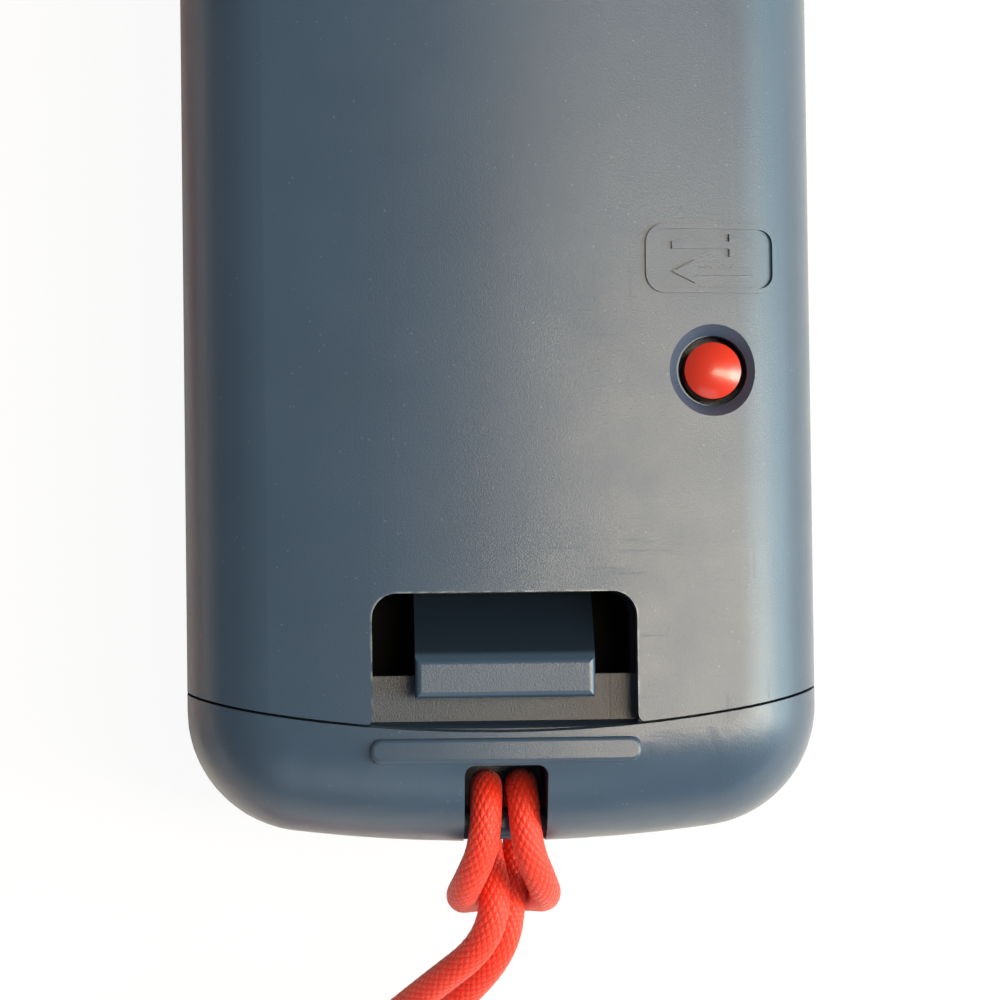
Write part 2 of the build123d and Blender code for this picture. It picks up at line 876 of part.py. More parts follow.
def battery_cover():
    """The lid over the cells, with the latch cut-out, the sync hole and the label field."""
    cover = casing_shell() & cover_space(0.0)
    half = cutout_width / 2
    notch = Pos(0, seam_y + cutout_length / 2 - cut_overrun / 2) * rounded_field(
        cutout_width, cutout_length + cut_overrun, cutout_corner
    )
    cover -= extrude(Pos(0, 0, side_seam) * notch, side_seam_drop + cut_overrun)
    lip = cutout_lip_radius
    corner_y = seam_y + seam_radius - math.sqrt(seam_radius**2 - half**2)
    for low, high in across(half - face_touch, half + lip):
        corner = block((low, high), (corner_y - lip, corner_y + lip), (side_seam, back_level))
        round_x = math.copysign(half + lip, low)
        cover -= corner - disc(round_x, corner_y + lip, side_seam, back_level, lip)
    sync_y = seam_y + sync_from_seam
    cover -= disc(sync_x, sync_y, side_seam, back_level, sync_hole_radius)
    slope = math.degrees(math.asin(sync_x / crown_radius))
    top = Pos(sync_x, sync_y, crown_height(sync_x)) * Rot(0, slope, 0)
    ring_deep = sync_ring_radius - sync_hole_radius
    flare = Cone(sync_hole_radius, sync_ring_radius + ring_deep, 2 * sync_ring_depth)
    cover -= top * flare
    tab_half = cover_tab_width / 2
    tab_high = back_level - cover_tab_drop
    tab_low = tab_high - cover_tab_thickness
    root_y = cover_nose_y - bay_wall + cover_gap
    root = (root_y, cover_nose_y - cover_gap)
    cover += block((-tab_half, tab_half), root, (tab_low, back_level - wall / 2))
    cover += block((-tab_half, tab_half), (root_y, cover_nose_y + cover_tab_reach), (tab_low, tab_high))
    axis_y, axis_z = latch_axis()
    inner = tongue_width / 2 + part_gap
    for span in across(inner, inner + latch_ear_width):
        ear = block(span, (axis_y - latch_ear_radius, axis_y + latch_ear_radius), (axis_z, back_level))
        ear += rod_along_x(span, axis_y, axis_z, latch_ear_radius)
        cover += (ear & barrel(wall / 2)) - rod_along_x(span, axis_y, axis_z, latch_axle_radius + axle_gap)
    for face in label_field():
        cover += raised(face)
    return cover


def cover_latch():
    """The springy tongue in the cut-out: root, slope, ledge and leg."""
    axis_y, axis_z = latch_axis()
    ledge_high = back_level - tongue_drop
    ledge_tail = seam_y + ledge_overhang
    ledge_nose = ledge_tail + ledge_length
    slope_foot = ledge_nose + tongue_slope
    foot_high = ledge_high - tongue_rise
    foot_low = foot_high - tongue_thickness
    leg_tail = ledge_tail + ledge_overhang
    leg_nose = leg_tail + tongue_thickness
    profile = polygon(
        (axis_y, foot_high),
        (slope_foot, foot_high),
        (ledge_nose, ledge_high),
        (ledge_tail, ledge_high),
        (ledge_tail, ledge_high - ledge_thickness),
        (leg_tail, ledge_high - ledge_thickness - tongue_thickness / 2),
        (leg_tail, ledge_high - ledge_thickness - leg_length),
        (leg_nose, ledge_high - ledge_thickness - leg_length),
        (leg_nose, ledge_high - ledge_thickness - tongue_thickness),
        (slope_foot - tongue_thickness / 2, foot_low),
        (axis_y, foot_low),
    )
    half = tongue_width / 2
    latch = side_prism(profile, half)
    latch += rod_along_x((-half, half), axis_y, axis_z, latch_knuckle_radius)
    top_edges = [e for e in latch.edges() if abs(e.center().Z - ledge_high) < least_radius / 2]
    latch = fillet(top_edges, ledge_radius)
    axle = half + part_gap + latch_ear_width
    return latch + rod_along_x((-axle, axle), axis_y, axis_z, latch_axle_radius)


def sync_button():
    """The red cap with its stem down to the switch."""
    y = seam_y + sync_from_seam
    top = crown_height(sync_x)
    cap = disc(sync_x, y, top - sync_cap_height, top, sync_cap_radius)
    cap = cap & (Pos(sync_x, y, top - sync_dome_radius) * Sphere(sync_dome_radius) + disc(
        sync_x, y, top - sync_cap_height, top - sync_dome_radius, sync_dome_radius
    ))
    stem_low = board_high + switch_height + switch_plunger_height + sync_travel + travel_spare
    cap += disc(sync_x, y, stem_low, top - sync_cap_height + face_touch, sync_stem_radius)
    collar_high = deck_low - cover_gap
    cap += disc(sync_x, y, collar_high - sync_collar_height, collar_high, sync_collar_radius)
    return cap


def sync_switch():
    """The small switch under the sync button."""
    y = seam_y + sync_from_seam
    half = switch_size / 2
    tall = (board_high, board_high + switch_height)
    case = block((sync_x - half, sync_x + half), (y - half, y + half), tall)
    top = board_high + switch_height
    return case + disc(sync_x, y, top, top + switch_plunger_height, switch_plunger_radius)


def round_button(x, y, radius):
    """A round button with its flange behind the face."""
    button = disc(x, y, 0, flange_high, radius)
    rim = button.edges().group_by(Axis.Z)[0]
    button = fillet(rim, button_edge_radius)
    return button + disc(x, y, flange_low, flange_high, radius + flange_lip)


def d_pad():
    """The directional pad, hollow at the middle for its stud."""
    lip_low = inner_face + pad_lip_drop
    lip_high = lip_low + pad_lip_thickness
    pad = extrude(Pos(0, pad_y, 0) * pad_cross(0.0), lip_high)
    rim = pad.edges().group_by(Axis.Z)[0]
    pad = fillet(rim, pad_edge_radius)
    pad += extrude(Pos(0, pad_y, lip_low) * pad_cross(pad_lip), pad_lip_thickness)
    ball = Pos(0, pad_y, pad_dimple_depth - pad_dimple_radius) * Sphere(pad_dimple_radius)
    pad -= ball
    socket_low = lip_high - stud_depth - stud_gap
    return pad - disc(0, pad_y, socket_low, lip_high + wall, stud_radius + stud_gap)


def d_pad_pivot():
    """The rocker stud under the pad."""
    lip_high = inner_face + pad_lip_drop + pad_lip_thickness
    stud = disc(0, pad_y, lip_high - stud_depth, board_low - keypad_thickness - face_touch, stud_radius)
    return fillet(stud.edges().group_by(Axis.Z)[0], button_edge_radius)


def pill(x, y, radius):
    """A soft pill on a keypad, under one button."""
    return disc(x, y, pill_low, board_low, radius - pill_inset)


def upper_keypad():
    """The rubber sheet under the pad, the thumb button, the middle row and the power button."""
    low = board_low - keypad_thickness
    reach = pad_span / 2 + keypad_margin
    sheet = block((-keypad_half, keypad_half), (row_y, pad_y + reach), (low, board_low))
    row_reach = small_radius + keypad_margin
    row = (row_y - row_reach, row_y + row_reach)
    sheet += block((-keypad_row_half, keypad_row_half), row, (low, board_low))
    power_reach = power_radius + keypad_margin
    sheet += block(
        (0, power_x + power_reach), (power_y - power_reach, power_y + power_reach), (low, board_low)
    )
    sheet += block((0, keypad_half), (pad_y, power_y), (low, board_low))
    for name in ("a_button", "minus_button", "home_button", "plus_button", "power_button"):
        sheet += pill(*round_buttons[name])
    return sheet


def lower_keypad():
    """The rubber sheet under the two number buttons."""
    low = board_low - keypad_thickness
    half = number_radius + keypad_margin
    sheet = block((-half, half), (two_y - half, one_y + half), (low, board_low))
    return sheet + pill(*round_buttons["one_button"]) + pill(*round_buttons["two_button"])


def circuit_board():
    """The main board, clear of the bosses and cut away round the speaker."""
    inset = wall + board_gap
    half = half_width - inset
    face = plan_outline(inset) + Pos(0, (hump_y + nose_y - board_nose_gap) / 2) * Rectangle(
        2 * half, nose_y - board_nose_gap - hump_y
    )
    board = extrude(Pos(0, 0, board_low) * face, board_thickness)
    for x, y, _ in screw_places():
        board -= disc(x, y, board_low - wall, board_high + wall, screw_shank_radius + boss_wall + hole_gap)
    return board - disc(0, speaker_y, board_low - wall, board_high + wall, speaker_radius + hole_gap)


def chip(x, y, size, height):
    """A flat chip on the board's upper side."""
    half_x, half_y = size[0] / 2, size[1] / 2
    return block((x - half_x, x + half_x), (y - half_y, y + half_y), (board_high, board_high + height))


def radio_chip():
    """The wireless module under the deck."""
    return chip(radio_x, bay_tail_y - radio_from_bay, radio_size, radio_height)


def accelerometer_chip():
    """The acceleration sensor near the trigger."""
    return chip(sensor_chip_x, pivot_y - accelerometer_from_pivot, accelerometer_size, chip_thickness)


def gyroscope_chip():
    """The turn-rate sensor beside it."""
    return chip(sensor_chip_x, pivot_y + gyroscope_from_pivot, gyroscope_size, chip_thickness)


def capacitors():
    """A row of upright capacitors beside the trigger's bracket."""
    first = hump_y + capacitor_pitch
    row = []
    for i in range(capacitor_count):
        y = first + i * capacitor_pitch
        can = disc(capacitor_x, y, board_high, board_high + capacitor_height, capacitor_radius)
        row.append(fillet(can.edges().group_by(Axis.Z)[-1], least_radius))
    return Compound(children=row)


def indicator_leds():
    """The four lamps on the board's face side."""
    half = lamp_size / 2
    row = []
    for x in lamp_xs():
        deep = (board_low - lamp_height, board_low)
        row.append(block((x - half, x + half), (lamp_y - half, lamp_y + half), deep))
    return Compound(children=row)


def indicator_lenses():
    """Four clear windows in the face, each with a flange behind it."""
    half = lamp_window / 2
    row = []
    for x in lamp_xs():
        lens = block((x - half, x + half), (lamp_y - half, lamp_y + half), (lens_stand, inner_face))
        wide = half + lens_flange
        lens += block(
            (x - wide, x + wide), (lamp_y - wide, lamp_y + wide), (inner_face, inner_face + lens_flange)
        )
        row.append(lens)
    return Compound(children=row)


def speaker():
    """A flat round speaker behind its holes."""
    low = inner_face
    can = disc(0, speaker_y, low, low + speaker_height, speaker_radius)
    can -= disc(0, speaker_y, low - wall, low + speaker_rim / 2, speaker_radius - speaker_rim)
    magnet_high = low + speaker_height
    return fillet(can.edges().filter_by(GeomType.CIRCLE).group_by(Axis.Z)[-1], least_radius) + disc(
        0, speaker_y, low + speaker_rim / 2, magnet_high, speaker_radius / 2
    )


def cell(side):
    """One cell: the right one has its plus end at the nose, the left one at the tail."""
    tail = bay_tail_y + contact_thickness + contact_gap
    nose = bay_nose_y - contact_thickness - contact_gap
    x = side * cell_x
    if side > 0:
        body = (nose - cell_length, nose - cell_nub_height)
        nub = (nose - cell_nub_height, nose)
    else:
        body = (tail + cell_nub_height, tail + cell_length)
        nub = (tail, tail + cell_nub_height)
    can = rod_along_y(x, body, cell_axis, cell_radius)
    rims = can.edges().filter_by(GeomType.CIRCLE)
    return fillet(rims, cell_shrink) + rod_along_y(x, nub, cell_axis, cell_nub_radius)


def biarc(start, start_way, end, end_way):
    """Two tangent arcs from one point and direction to another."""
    gap = end - start
    ways = start_way + end_way
    turn = 2 * (1 - start_way.dot(end_way))
    along = gap.dot(ways)
    reach = (math.sqrt(along**2 + turn * gap.dot(gap)) - along) / turn
    middle = (start + end + (start_way - end_way) * reach) / 2
    return [
        TangentArc(start, middle, tangent=start_way),
        TangentArc(end, middle, tangent=end_way * -1),
    ]


def coil_point(angle, middle, foot_y, way):
    """A point on the cone-shaped coil, and its direction there."""
    turns = angle / (2 * math.pi)
    share = turns / spring_turns
    radius = spring_wide_radius + (spring_narrow_radius - spring_wide_radius) * share
    slim = (spring_narrow_radius - spring_wide_radius) / (2 * math.pi * spring_turns)
    rise = spring_pitch / (2 * math.pi)
    point = Vector(
        middle[0] + radius * math.cos(angle),
        foot_y + way * spring_pitch * turns,
        middle[1] + radius * math.sin(angle),
    )
    heading = Vector(
        slim * math.cos(angle) - radius * math.sin(angle),
        way * rise,
        slim * math.sin(angle) + radius * math.cos(angle),
    )
    return point, heading.normalized()


def battery_spring(side):
    """One cone-shaped coil that presses on a cell's flat end."""
    if side > 0:
        foot_y = bay_tail_y + contact_thickness + spring_wire_radius
        way = 1
    else:
        foot_y = bay_nose_y - contact_thickness - spring_wire_radius
        way = -1
    quarters = 4 * spring_turns
    edges = []
    for i in range(quarters):
        start = coil_point(i * math.pi / 2, (side * cell_x, cell_axis), foot_y, way)
        end = coil_point((i + 1) * math.pi / 2, (side * cell_x, cell_axis), foot_y, way)
        edges += biarc(*start, *end)
    path = Wire(edges)
    first, heading = coil_point(0.0, (side * cell_x, cell_axis), foot_y, way)
    section = Plane(origin=first, z_dir=heading) * Circle(spring_wire_radius)
    return sweep(section, path=path)


def battery_springs():
    """The two coils on the flat ends of the cells."""
    return Compound(children=[battery_spring(side).solid() for side in (-1, 1)])


def contact_plate(x_span, at_nose):
    """A thin plate on one end wall of the bay."""
    half = contact_height / 2
    if at_nose:
        span = (bay_nose_y - contact_thickness, bay_nose_y)
    else:
        span = (bay_tail_y, bay_tail_y + contact_thickness)
    return block(x_span, span, (cell_axis - half, cell_axis + half))


def cell_contacts():
    """The two plates at the tail end of the bay."""
    plates = []
    for side in (-1, 1):
        middle = side * cell_x
        plates.append(contact_plate((middle - contact_half, middle + contact_half), False))
    return Compound(children=plates)


def bridge_contact():
    """The plate that joins both cells at the nose end of the bay."""
    return contact_plate((-bridge_half, bridge_half), True)


def trigger_face():
    """Side view of the trigger, with its finger scoop; its tail face is round about the pivot."""
    top = nose_level - trigger_inset
    tip = (tip_y, trigger_corner_level)
    heel_z = back_level - trigger_heel_drop
    heel_y = pivot_y - math.sqrt(trigger_radius**2 - (heel_z - pivot_z) ** 2)
    tip_angle = math.atan2(tip[1] - pivot_z, tip_y - pivot_y)
    heel_angle = math.atan2(heel_z - pivot_z, heel_y - pivot_y)
    mid_angle = (tip_angle + heel_angle) / 2
    tail_mid = (
        pivot_y + trigger_radius * math.cos(mid_angle),
        pivot_z + trigger_radius * math.sin(mid_angle),
    )
    scoop = (
        tip_y + trigger_scoop_share * trigger_reach,
        top + trigger_scoop_rise_share * (trigger_corner_level - top),
    )
    end_y = pivot_y + trigger_end
    belly_y = pivot_y - trigger_belly_share * trigger_reach
    low = pivot_z - trigger_belly_drop
    lines = [
        Line((end_y, top), (pivot_y, top)),
        ThreePointArc((pivot_y, top), scoop, tip),
        ThreePointArc(tip, tail_mid, (heel_y, heel_z)),
        Polyline((heel_y, heel_z), (belly_y, low), (pivot_y, low), (end_y, pivot_z), (end_y, top)),
    ]
    face = make_face(lines)
    tip_corner = face.vertices().sort_by(Axis.Y)
    return fillet([v for v in tip_corner if v.Y > trigger_corner_level - least_radius], trigger_tip_radius)


def trigger():
    """The trigger: a shell with two side walls, a pivot boss and a plunger for the dome."""
    face = trigger_face()
    body = side_prism(face, trigger_half)
    scoop_edges = [
        e for e in body.edges()
        if abs(abs(e.center().X) - trigger_half) < least_radius and e.center().Z > nose_level - trigger_wall
        and e.center().Y > tip_y - trigger_wall
    ]
    body = fillet(scoop_edges, trigger_edge_radius)
    hollow_face = offset(face, -trigger_wall)
    hollow = side_prism(hollow_face, trigger_half - trigger_wall)
    body -= hollow + Pos(0, 0, -trigger_wall * 2) * hollow
    body += rod_along_x((-trigger_half, trigger_half), pivot_y, pivot_z, pivot_boss_radius)
    dome_y = pivot_y - dome_from_pivot
    dome_high = trigger_board_level + board_thickness + dome_height
    post = block(
        (-plunger_half, plunger_half),
        (dome_y - plunger_half, dome_y + plunger_half),
        (dome_high + dome_gap, trigger_corner_level),
    )
    body += post & (side_prism(face, plunger_half) + block(
        (-plunger_half, plunger_half),
        (dome_y - plunger_half, dome_y + plunger_half),
        (dome_high + dome_gap, back_level - trigger_heel_drop),
    ))
    return body - rod_along_x((-half_width, half_width), pivot_y, pivot_z, pin_radius + pin_gap)


def trigger_pin():
    """The steel pin that the trigger turns on."""
    end = trigger_half + trigger_gap + ear_width
    return rod_along_x((-end, end), pivot_y, pivot_z, pin_radius)


def trigger_dome():
    """The rubber dome under the trigger's plunger."""
    y = pivot_y - dome_from_pivot
    low = trigger_board_level + board_thickness
    outer = Cone(dome_foot_radius, dome_top_radius, dome_height)
    hollow = Cone(dome_foot_radius - dome_wall, dome_top_radius - dome_wall, dome_height - dome_wall)
    shell = outer - Pos(0, 0, -dome_wall / 2) * hollow
    return Pos(0, y, low + dome_height / 2) * shell


def trigger_board():
    """The small board under the dome."""
    y = pivot_y - dome_from_pivot
    half = trigger_board_length / 2
    wide = trigger_board_width / 2
    tall = (trigger_board_level, trigger_board_level + board_thickness)
    return block((-wide, wide), (y - half, y + half), tall)


def trigger_bracket():
    """The plastic table that carries the small board, standing on the main board."""
    y = pivot_y - dome_from_pivot
    half = trigger_board_length / 2
    wide = trigger_board_width / 2
    tall = (trigger_board_level - bracket_thickness, trigger_board_level)
    top = block((-wide, wide), (y - half, y + half), tall)
    for x_span in across(wide - bracket_leg, wide):
        for y_span in across(half - bracket_leg, half):
            span = (y + y_span[0], y + y_span[1])
            top += block(x_span, span, (board_high, trigger_board_level))
    return top


def motor_axis():
    """Place along X and Z of the motor's shaft."""
    return -motor_x, board_high + motor_lift + motor_radius


def rumble_motor():
    """The little motor in its cradle on the board."""
    x, z = motor_axis()
    start = hump_y + motor_from_hump
    end = start + motor_length
    can = rod_along_y(x, (start, end), z, motor_radius)
    can = fillet(can.edges().filter_by(GeomType.CIRCLE), least_radius)
    along = (start + cradle_wall, end - cradle_wall)
    cradle = block((x - motor_radius, x + motor_radius), along, (board_high, z - motor_radius / 2))
    flange = rod_along_y(x, (end, end + weight_gap / 2), z, weight_radius / 2)
    bore = (start + cradle_wall, end + weight_gap)
    return can + cradle + flange - rod_along_y(x, bore, z, motor_shaft_radius + axle_gap)


def rumble_weight():
    """The half-round weight on the motor's shaft."""
    x, z = motor_axis()
    end = hump_y + motor_from_hump + motor_length
    span = (end + weight_gap, end + weight_gap + weight_length)
    disc_part = rod_along_y(x, span, z, weight_radius)
    tall = (z - weight_radius, z + motor_shaft_radius / 2)
    lower = block((x - weight_radius, x + weight_radius), span, tall)
    weight = disc_part & lower
    weight += rod_along_y(x, span, z, 2 * motor_shaft_radius)
    shaft = (span[1] - weight_length - motor_shaft_length, span[1])
    return weight + rod_along_y(x, shaft, z, motor_shaft_radius)


def sensor_window():
    """The dark window over the infrared camera."""
    face = rounded_field(window_width, window_height, window_corner)
    middle = window_low + window_height / 2
    placed = Plane.XZ.offset(window_inset - nose_y) * Pos(0, middle) * face
    panel = extrude(placed, window_thickness)
    return fillet(panel.faces().sort_by(Axis.Y)[-1].edges(), least_radius)


def infrared_camera():
    """The camera: a square holder with a round lens."""
    front = nose_y - window_thickness - window_inset - camera_gap
    half = camera_width / 2
    span = (front - camera_length, front)
    holder = block((-half, half), span, (board_high, board_high + camera_height))
    axis_z = board_high + camera_height / 2
    holder += rod_along_y(0, (front, front + lens_length), axis_z, lens_radius)
    mouth = front + lens_length
    return holder - rod_along_y(0, (mouth - lens_bore_depth, mouth), axis_z, lens_bore_radius)


def expansion_socket():
    """The socket in the strap end, with its mouth and the tongue that carries the contacts."""
    wide = socket_width / 2
    middle = socket_middle()
    tall = socket_height / 2
    start = tail_y + socket_inset
    body = block((-wide, wide), (start, start + socket_length), (middle - tall, middle + tall))
    mouth_half = mouth_width / 2
    mouth_tall = mouth_height / 2
    body &= barrel(strap_bar_inset)
    deep = (tail_y, start + mouth_depth)
    body -= block((-mouth_half, mouth_half), deep, (middle - mouth_tall, middle + mouth_tall))
    tongue_half = socket_tongue_width / 2
    thick = socket_tongue_thickness / 2
    span = (start + tongue_inset, start + mouth_depth + face_touch)
    return body + block((-tongue_half, tongue_half), span, (middle - thick, middle + thick))


def socket_contacts():
    """Flat springs along the top of the socket's tongue."""
    start = tail_y + socket_inset + tongue_inset
    low = socket_middle() + socket_tongue_thickness / 2
    strips = []
    for i in range(contact_count):
        x = (i - (contact_count - 1) / 2) * contact_pitch
        half = contact_width / 2
        span = (start + contact_strip, tail_y + socket_inset + mouth_depth)
        strips.append(block((x - half, x + half), span, (low, low + contact_strip)))
    return Compound(children=strips)


def case_screws():
    """Four identical screws, each with a cross slot."""
    screws = []
    for x, y, at_nose in screw_places():
        seat = screw_seat(at_nose)
        shank_low = max(seat - screw_length, inner_face + wall)
        screw = disc(x, y, seat, seat + screw_head_height, screw_head_radius)
        screw = fillet(screw.edges().group_by(Axis.Z)[-1], screw_slot_depth)
        screw += disc(x, y, shank_low, seat, screw_shank_radius)
        top = seat + screw_head_height
        half = screw_slot_width / 2
        arm = screw_head_radius - screw_slot_width
        deep = (top - screw_slot_depth, top + screw_slot_depth)
        screw -= block((x - arm, x + arm), (y - half, y + half), deep)
        screw -= block((x - half, x + half), (y - arm, y + arm), deep)
        screws.append(screw)
    return Compound(children=screws)


def fold_radii(points):
    """Radius of the arc at each corner of a route: as large as its two runs allow."""
    radii = []
    for before, here, after in zip(points, points[1:], points[2:]):
        inward = Vector(*here) - Vector(*before)
        outward = Vector(*after) - Vector(*here)
        run = min(inward.length, outward.length)
        radii.append(fold_share * run / math.tan(math.radians(inward.get_angle(outward)) / 2))
    return radii


def least_gap(points, diameter):
    """Least gap of a tube to itself, measured on points along its runs."""
    samples = []
    travelled = 0.0
    for start, end in zip(points, points[1:]):
        leg = Vector(*end) - Vector(*start)
        count = max(2, round(leg.length / (diameter / 3)))
        shares = [i / count for i in range(count)]
        samples += [(travelled + leg.length * share, Vector(*start) + leg * share) for share in shares]
        travelled += leg.length
    apart = [
        (a - b).length
        for i, (s, a) in enumerate(samples)
        for t, b in samples[i + 1 :]
        if t - s > 3 * diameter
    ]
    return min(apart) - diameter


def strap_cord():
    """The cord, from the ferrule round the bar and back."""
    radii = fold_radii(cord_route)
    path = FilletPolyline(*cord_route, radius=radii)
    heading = Vector(*cord_route[1]) - Vector(*cord_route[0])
    section = Plane(origin=Vector(*cord_route[0]), z_dir=heading) * Circle(cord_diameter / 2)
    tube = sweep(section, path=path)
    shares = [round(radius / cord_diameter, 2) for radius in radii]
    print("strap cord length", round(path.length, 1), "radii in diameters", shares)
    ideal = math.pi * cord_diameter**2 / 4 * path.length
    print("strap cord volume", round(tube.volume, 2), "section times length", round(ideal, 2))
    print("strap cord least gap between runs", round(least_gap(cord_route, cord_diameter), 2))
    return tube


def cord_ferrule():
    """The moulded ferrule where the cord's ends meet the wrist band."""
    x, y, z = ferrule_middle
    half = ferrule_length / 2
    body = block(
        (x - ferrule_width / 2, x + ferrule_width / 2),
        (y - half, y + half),
        (z - ferrule_height / 2, z + ferrule_height / 2),
    )
    return fillet(body.edges().filter_by(Axis.Y), ferrule_radius)


def wrist_band():
    """The flat band, lying on its edge in a long loop."""
    radii = fold_radii([(x, y, 0.0) for x, y in band_route])
    path = FilletPolyline(*band_route, radius=radii)
    print("wrist band length", round(path.length, 1), "radii", [round(r, 1) for r in radii])
    heading = Vector(*band_route[1]) - Vector(*band_route[0])
    section = Plane(
        origin=Vector(*band_route[0], band_width / 2),
        z_dir=Vector(heading.X, heading.Y, 0),
        x_dir=(0, 0, 1),
    ) * Rectangle(band_width, band_thickness)
    return sweep(section, path=Pos(0, 0, band_width / 2) * path)


def band_slider():
    """The small lock that slides along both legs of the band."""
    x = (band_route[0][0] + band_route[-1][0]) / 2
    low = ferrule_middle[1] + ferrule_length / 2 + slider_from_ferrule
    half = slider_width / 2
    body = block((x - half, x + half), (low, low + slider_length), (0, slider_height))
    body = fillet(body.edges().filter_by(Axis.Y), slider_radius)
    legs = abs(band_route[0][0] - band_route[-1][0]) / 2 + band_thickness / 2 + slider_bore_gap
    through = (low - wall, low + slider_length + wall)
    bore = block((x - legs, x + legs), through, (-wall, band_width + slider_bore_gap))
    return body - bore


pieces = {
    "front_cover": front_cover,
    "back_cover": back_cover,
    "battery_cover": battery_cover,
    "cover_latch": cover_latch,
    "sync_button": sync_button,
    "sync_switch": sync_switch,
    "d_pad": d_pad,
    "d_pad_pivot": d_pad_pivot,
    "upper_keypad": upper_keypad,
    "lower_keypad": lower_keypad,
    "circuit_board": circuit_board,
    "radio_chip": radio_chip,
    "accelerometer_chip": accelerometer_chip,
    "gyroscope_chip": gyroscope_chip,
    "capacitors": capacitors,
    "indicator_leds": indicator_leds,
    "indicator_lenses": indicator_lenses,
    "speaker": speaker,
    "right_cell": lambda: cell(1),
    "left_cell": lambda: cell(-1),
    "battery_springs": battery_springs,
    "cell_contacts": cell_contacts,
    "bridge_contact": bridge_contact,
    "trigger": trigger,
    "trigger_pin": trigger_pin,
    "trigger_dome": trigger_dome,
    "trigger_board": trigger_board,
    "trigger_bracket": trigger_bracket,
    "rumble_motor": rumble_motor,
    "rumble_weight": rumble_weight,
    "sensor_window": sensor_window,
    "infrared_camera": infrared_camera,
    "expansion_socket": expansion_socket,
    "socket_contacts": socket_contacts,
    "case_screws": case_screws,
    "strap_cord": strap_cord,
    "cord_ferrule": cord_ferrule,
    "wrist_band": wrist_band,
    "band_slider": band_slider,
}

os.makedirs("parts", exist_ok=True)
for name, make in pieces.items():
    export_step(make(), f"parts/{name}.step")
for name, (x, y, radius) in round_buttons.items():
    export_step(round_button(x, y, radius), f"parts/{name}.step")
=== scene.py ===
"""The looks of a slim motion controller: its plastics, metals, rubber and boards, the braided cord
hitched on its strap bar, and the flat wrist band beside it."""
import json
import logging
import math
from dataclasses import dataclass, field
from enum import Enum

import bpy
import numpy as np
from mathutils import Matrix, Vector

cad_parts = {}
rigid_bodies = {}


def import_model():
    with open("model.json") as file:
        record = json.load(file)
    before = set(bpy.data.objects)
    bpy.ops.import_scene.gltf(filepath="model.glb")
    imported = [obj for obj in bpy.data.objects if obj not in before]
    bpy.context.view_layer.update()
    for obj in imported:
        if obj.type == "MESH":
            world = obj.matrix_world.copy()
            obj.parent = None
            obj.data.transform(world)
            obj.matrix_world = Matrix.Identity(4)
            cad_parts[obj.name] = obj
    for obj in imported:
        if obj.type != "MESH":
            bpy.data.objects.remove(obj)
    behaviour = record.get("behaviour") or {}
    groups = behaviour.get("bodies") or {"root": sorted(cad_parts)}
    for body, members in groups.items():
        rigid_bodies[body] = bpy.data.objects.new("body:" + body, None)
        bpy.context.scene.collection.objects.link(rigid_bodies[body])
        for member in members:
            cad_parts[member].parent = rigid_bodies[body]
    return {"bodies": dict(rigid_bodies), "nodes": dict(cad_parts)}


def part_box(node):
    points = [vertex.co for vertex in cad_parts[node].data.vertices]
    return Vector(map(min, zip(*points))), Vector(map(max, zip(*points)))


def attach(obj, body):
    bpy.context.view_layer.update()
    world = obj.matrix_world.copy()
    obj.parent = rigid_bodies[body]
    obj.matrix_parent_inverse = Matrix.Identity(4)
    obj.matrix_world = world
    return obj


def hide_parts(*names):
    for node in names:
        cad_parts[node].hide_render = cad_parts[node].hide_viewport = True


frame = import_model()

log = logging.getLogger("wand")
Colour = tuple[float, float, float]
Point = tuple[float, float, float]
MM = 0.001


class Mark(Enum):
    """The generic marks moulded on the faces of the keys."""

    NONE = "none"
    BAR = "bar"
    CROSS = "cross"
    HOUSE = "house"
    RING = "ring"
    ONE_DOT = "one dot"
    TWO_DOTS = "two dots"


class Value:
    """A number that changes over a surface: a socket that takes part in sums."""

    def __init__(self, paint: "Paint", socket: bpy.types.NodeSocket) -> None:
        """Keeps the socket and the paint whose tree it is in."""
        self.paint = paint
        self.socket = socket

    def maths(self, operation: str, *others: "float | Value") -> "Value":
        """Adds one Math node.

        Args:
            operation: the Math node's operation.
            others: numbers or values for its later sockets.

        Returns:
            The result as a value.
        """
        inputs = {0: self, **dict(enumerate(others, start=1))}
        return Value(self.paint, self.paint.node("ShaderNodeMath", {"operation": operation}, inputs))

    def __add__(self, other: "float | Value") -> "Value":
        """Sum."""
        return self.maths("ADD", other)

    __radd__ = __add__

    def __sub__(self, other: "float | Value") -> "Value":
        """Difference."""
        return self.maths("SUBTRACT", other)

    def __rsub__(self, other: float) -> "Value":
        """A number less this value."""
        return self.maths("MULTIPLY", -1.0).maths("ADD", other)

    def __mul__(self, other: "float | Value") -> "Value":
        """Product."""
        return self.maths("MULTIPLY", other)

    __rmul__ = __mul__

    def __abs__(self) -> "Value":
        """Distance from zero."""
        return self.maths("ABSOLUTE")

    def lower(self, other: "float | Value") -> "Value":
        """The lower of two."""
        return self.maths("MINIMUM", other)

    def higher(self, other: "float | Value") -> "Value":
        """The higher of two."""
        return self.maths("MAXIMUM", other)

    def wave(self) -> "Value":
        """Sine of the value, in radians."""
        return self.maths("SINE")

    def step(self, low: float, high: float) -> "Value":
        """Rises smoothly from 0 at low to 1 at high, or falls where low is the larger.

        Args:
            low: where it is 0.
            high: where it is 1.

        Returns:
            The share from 0 to 1.
        """
        settings = {"interpolation_type": "SMOOTHSTEP"}
        if low > high:
            return 1.0 - self.step(high, low)
        inputs = {"Value": self, "From Min": low, "From Max": high}
        return Value(self.paint, self.paint.node("ShaderNodeMapRange", settings, inputs))


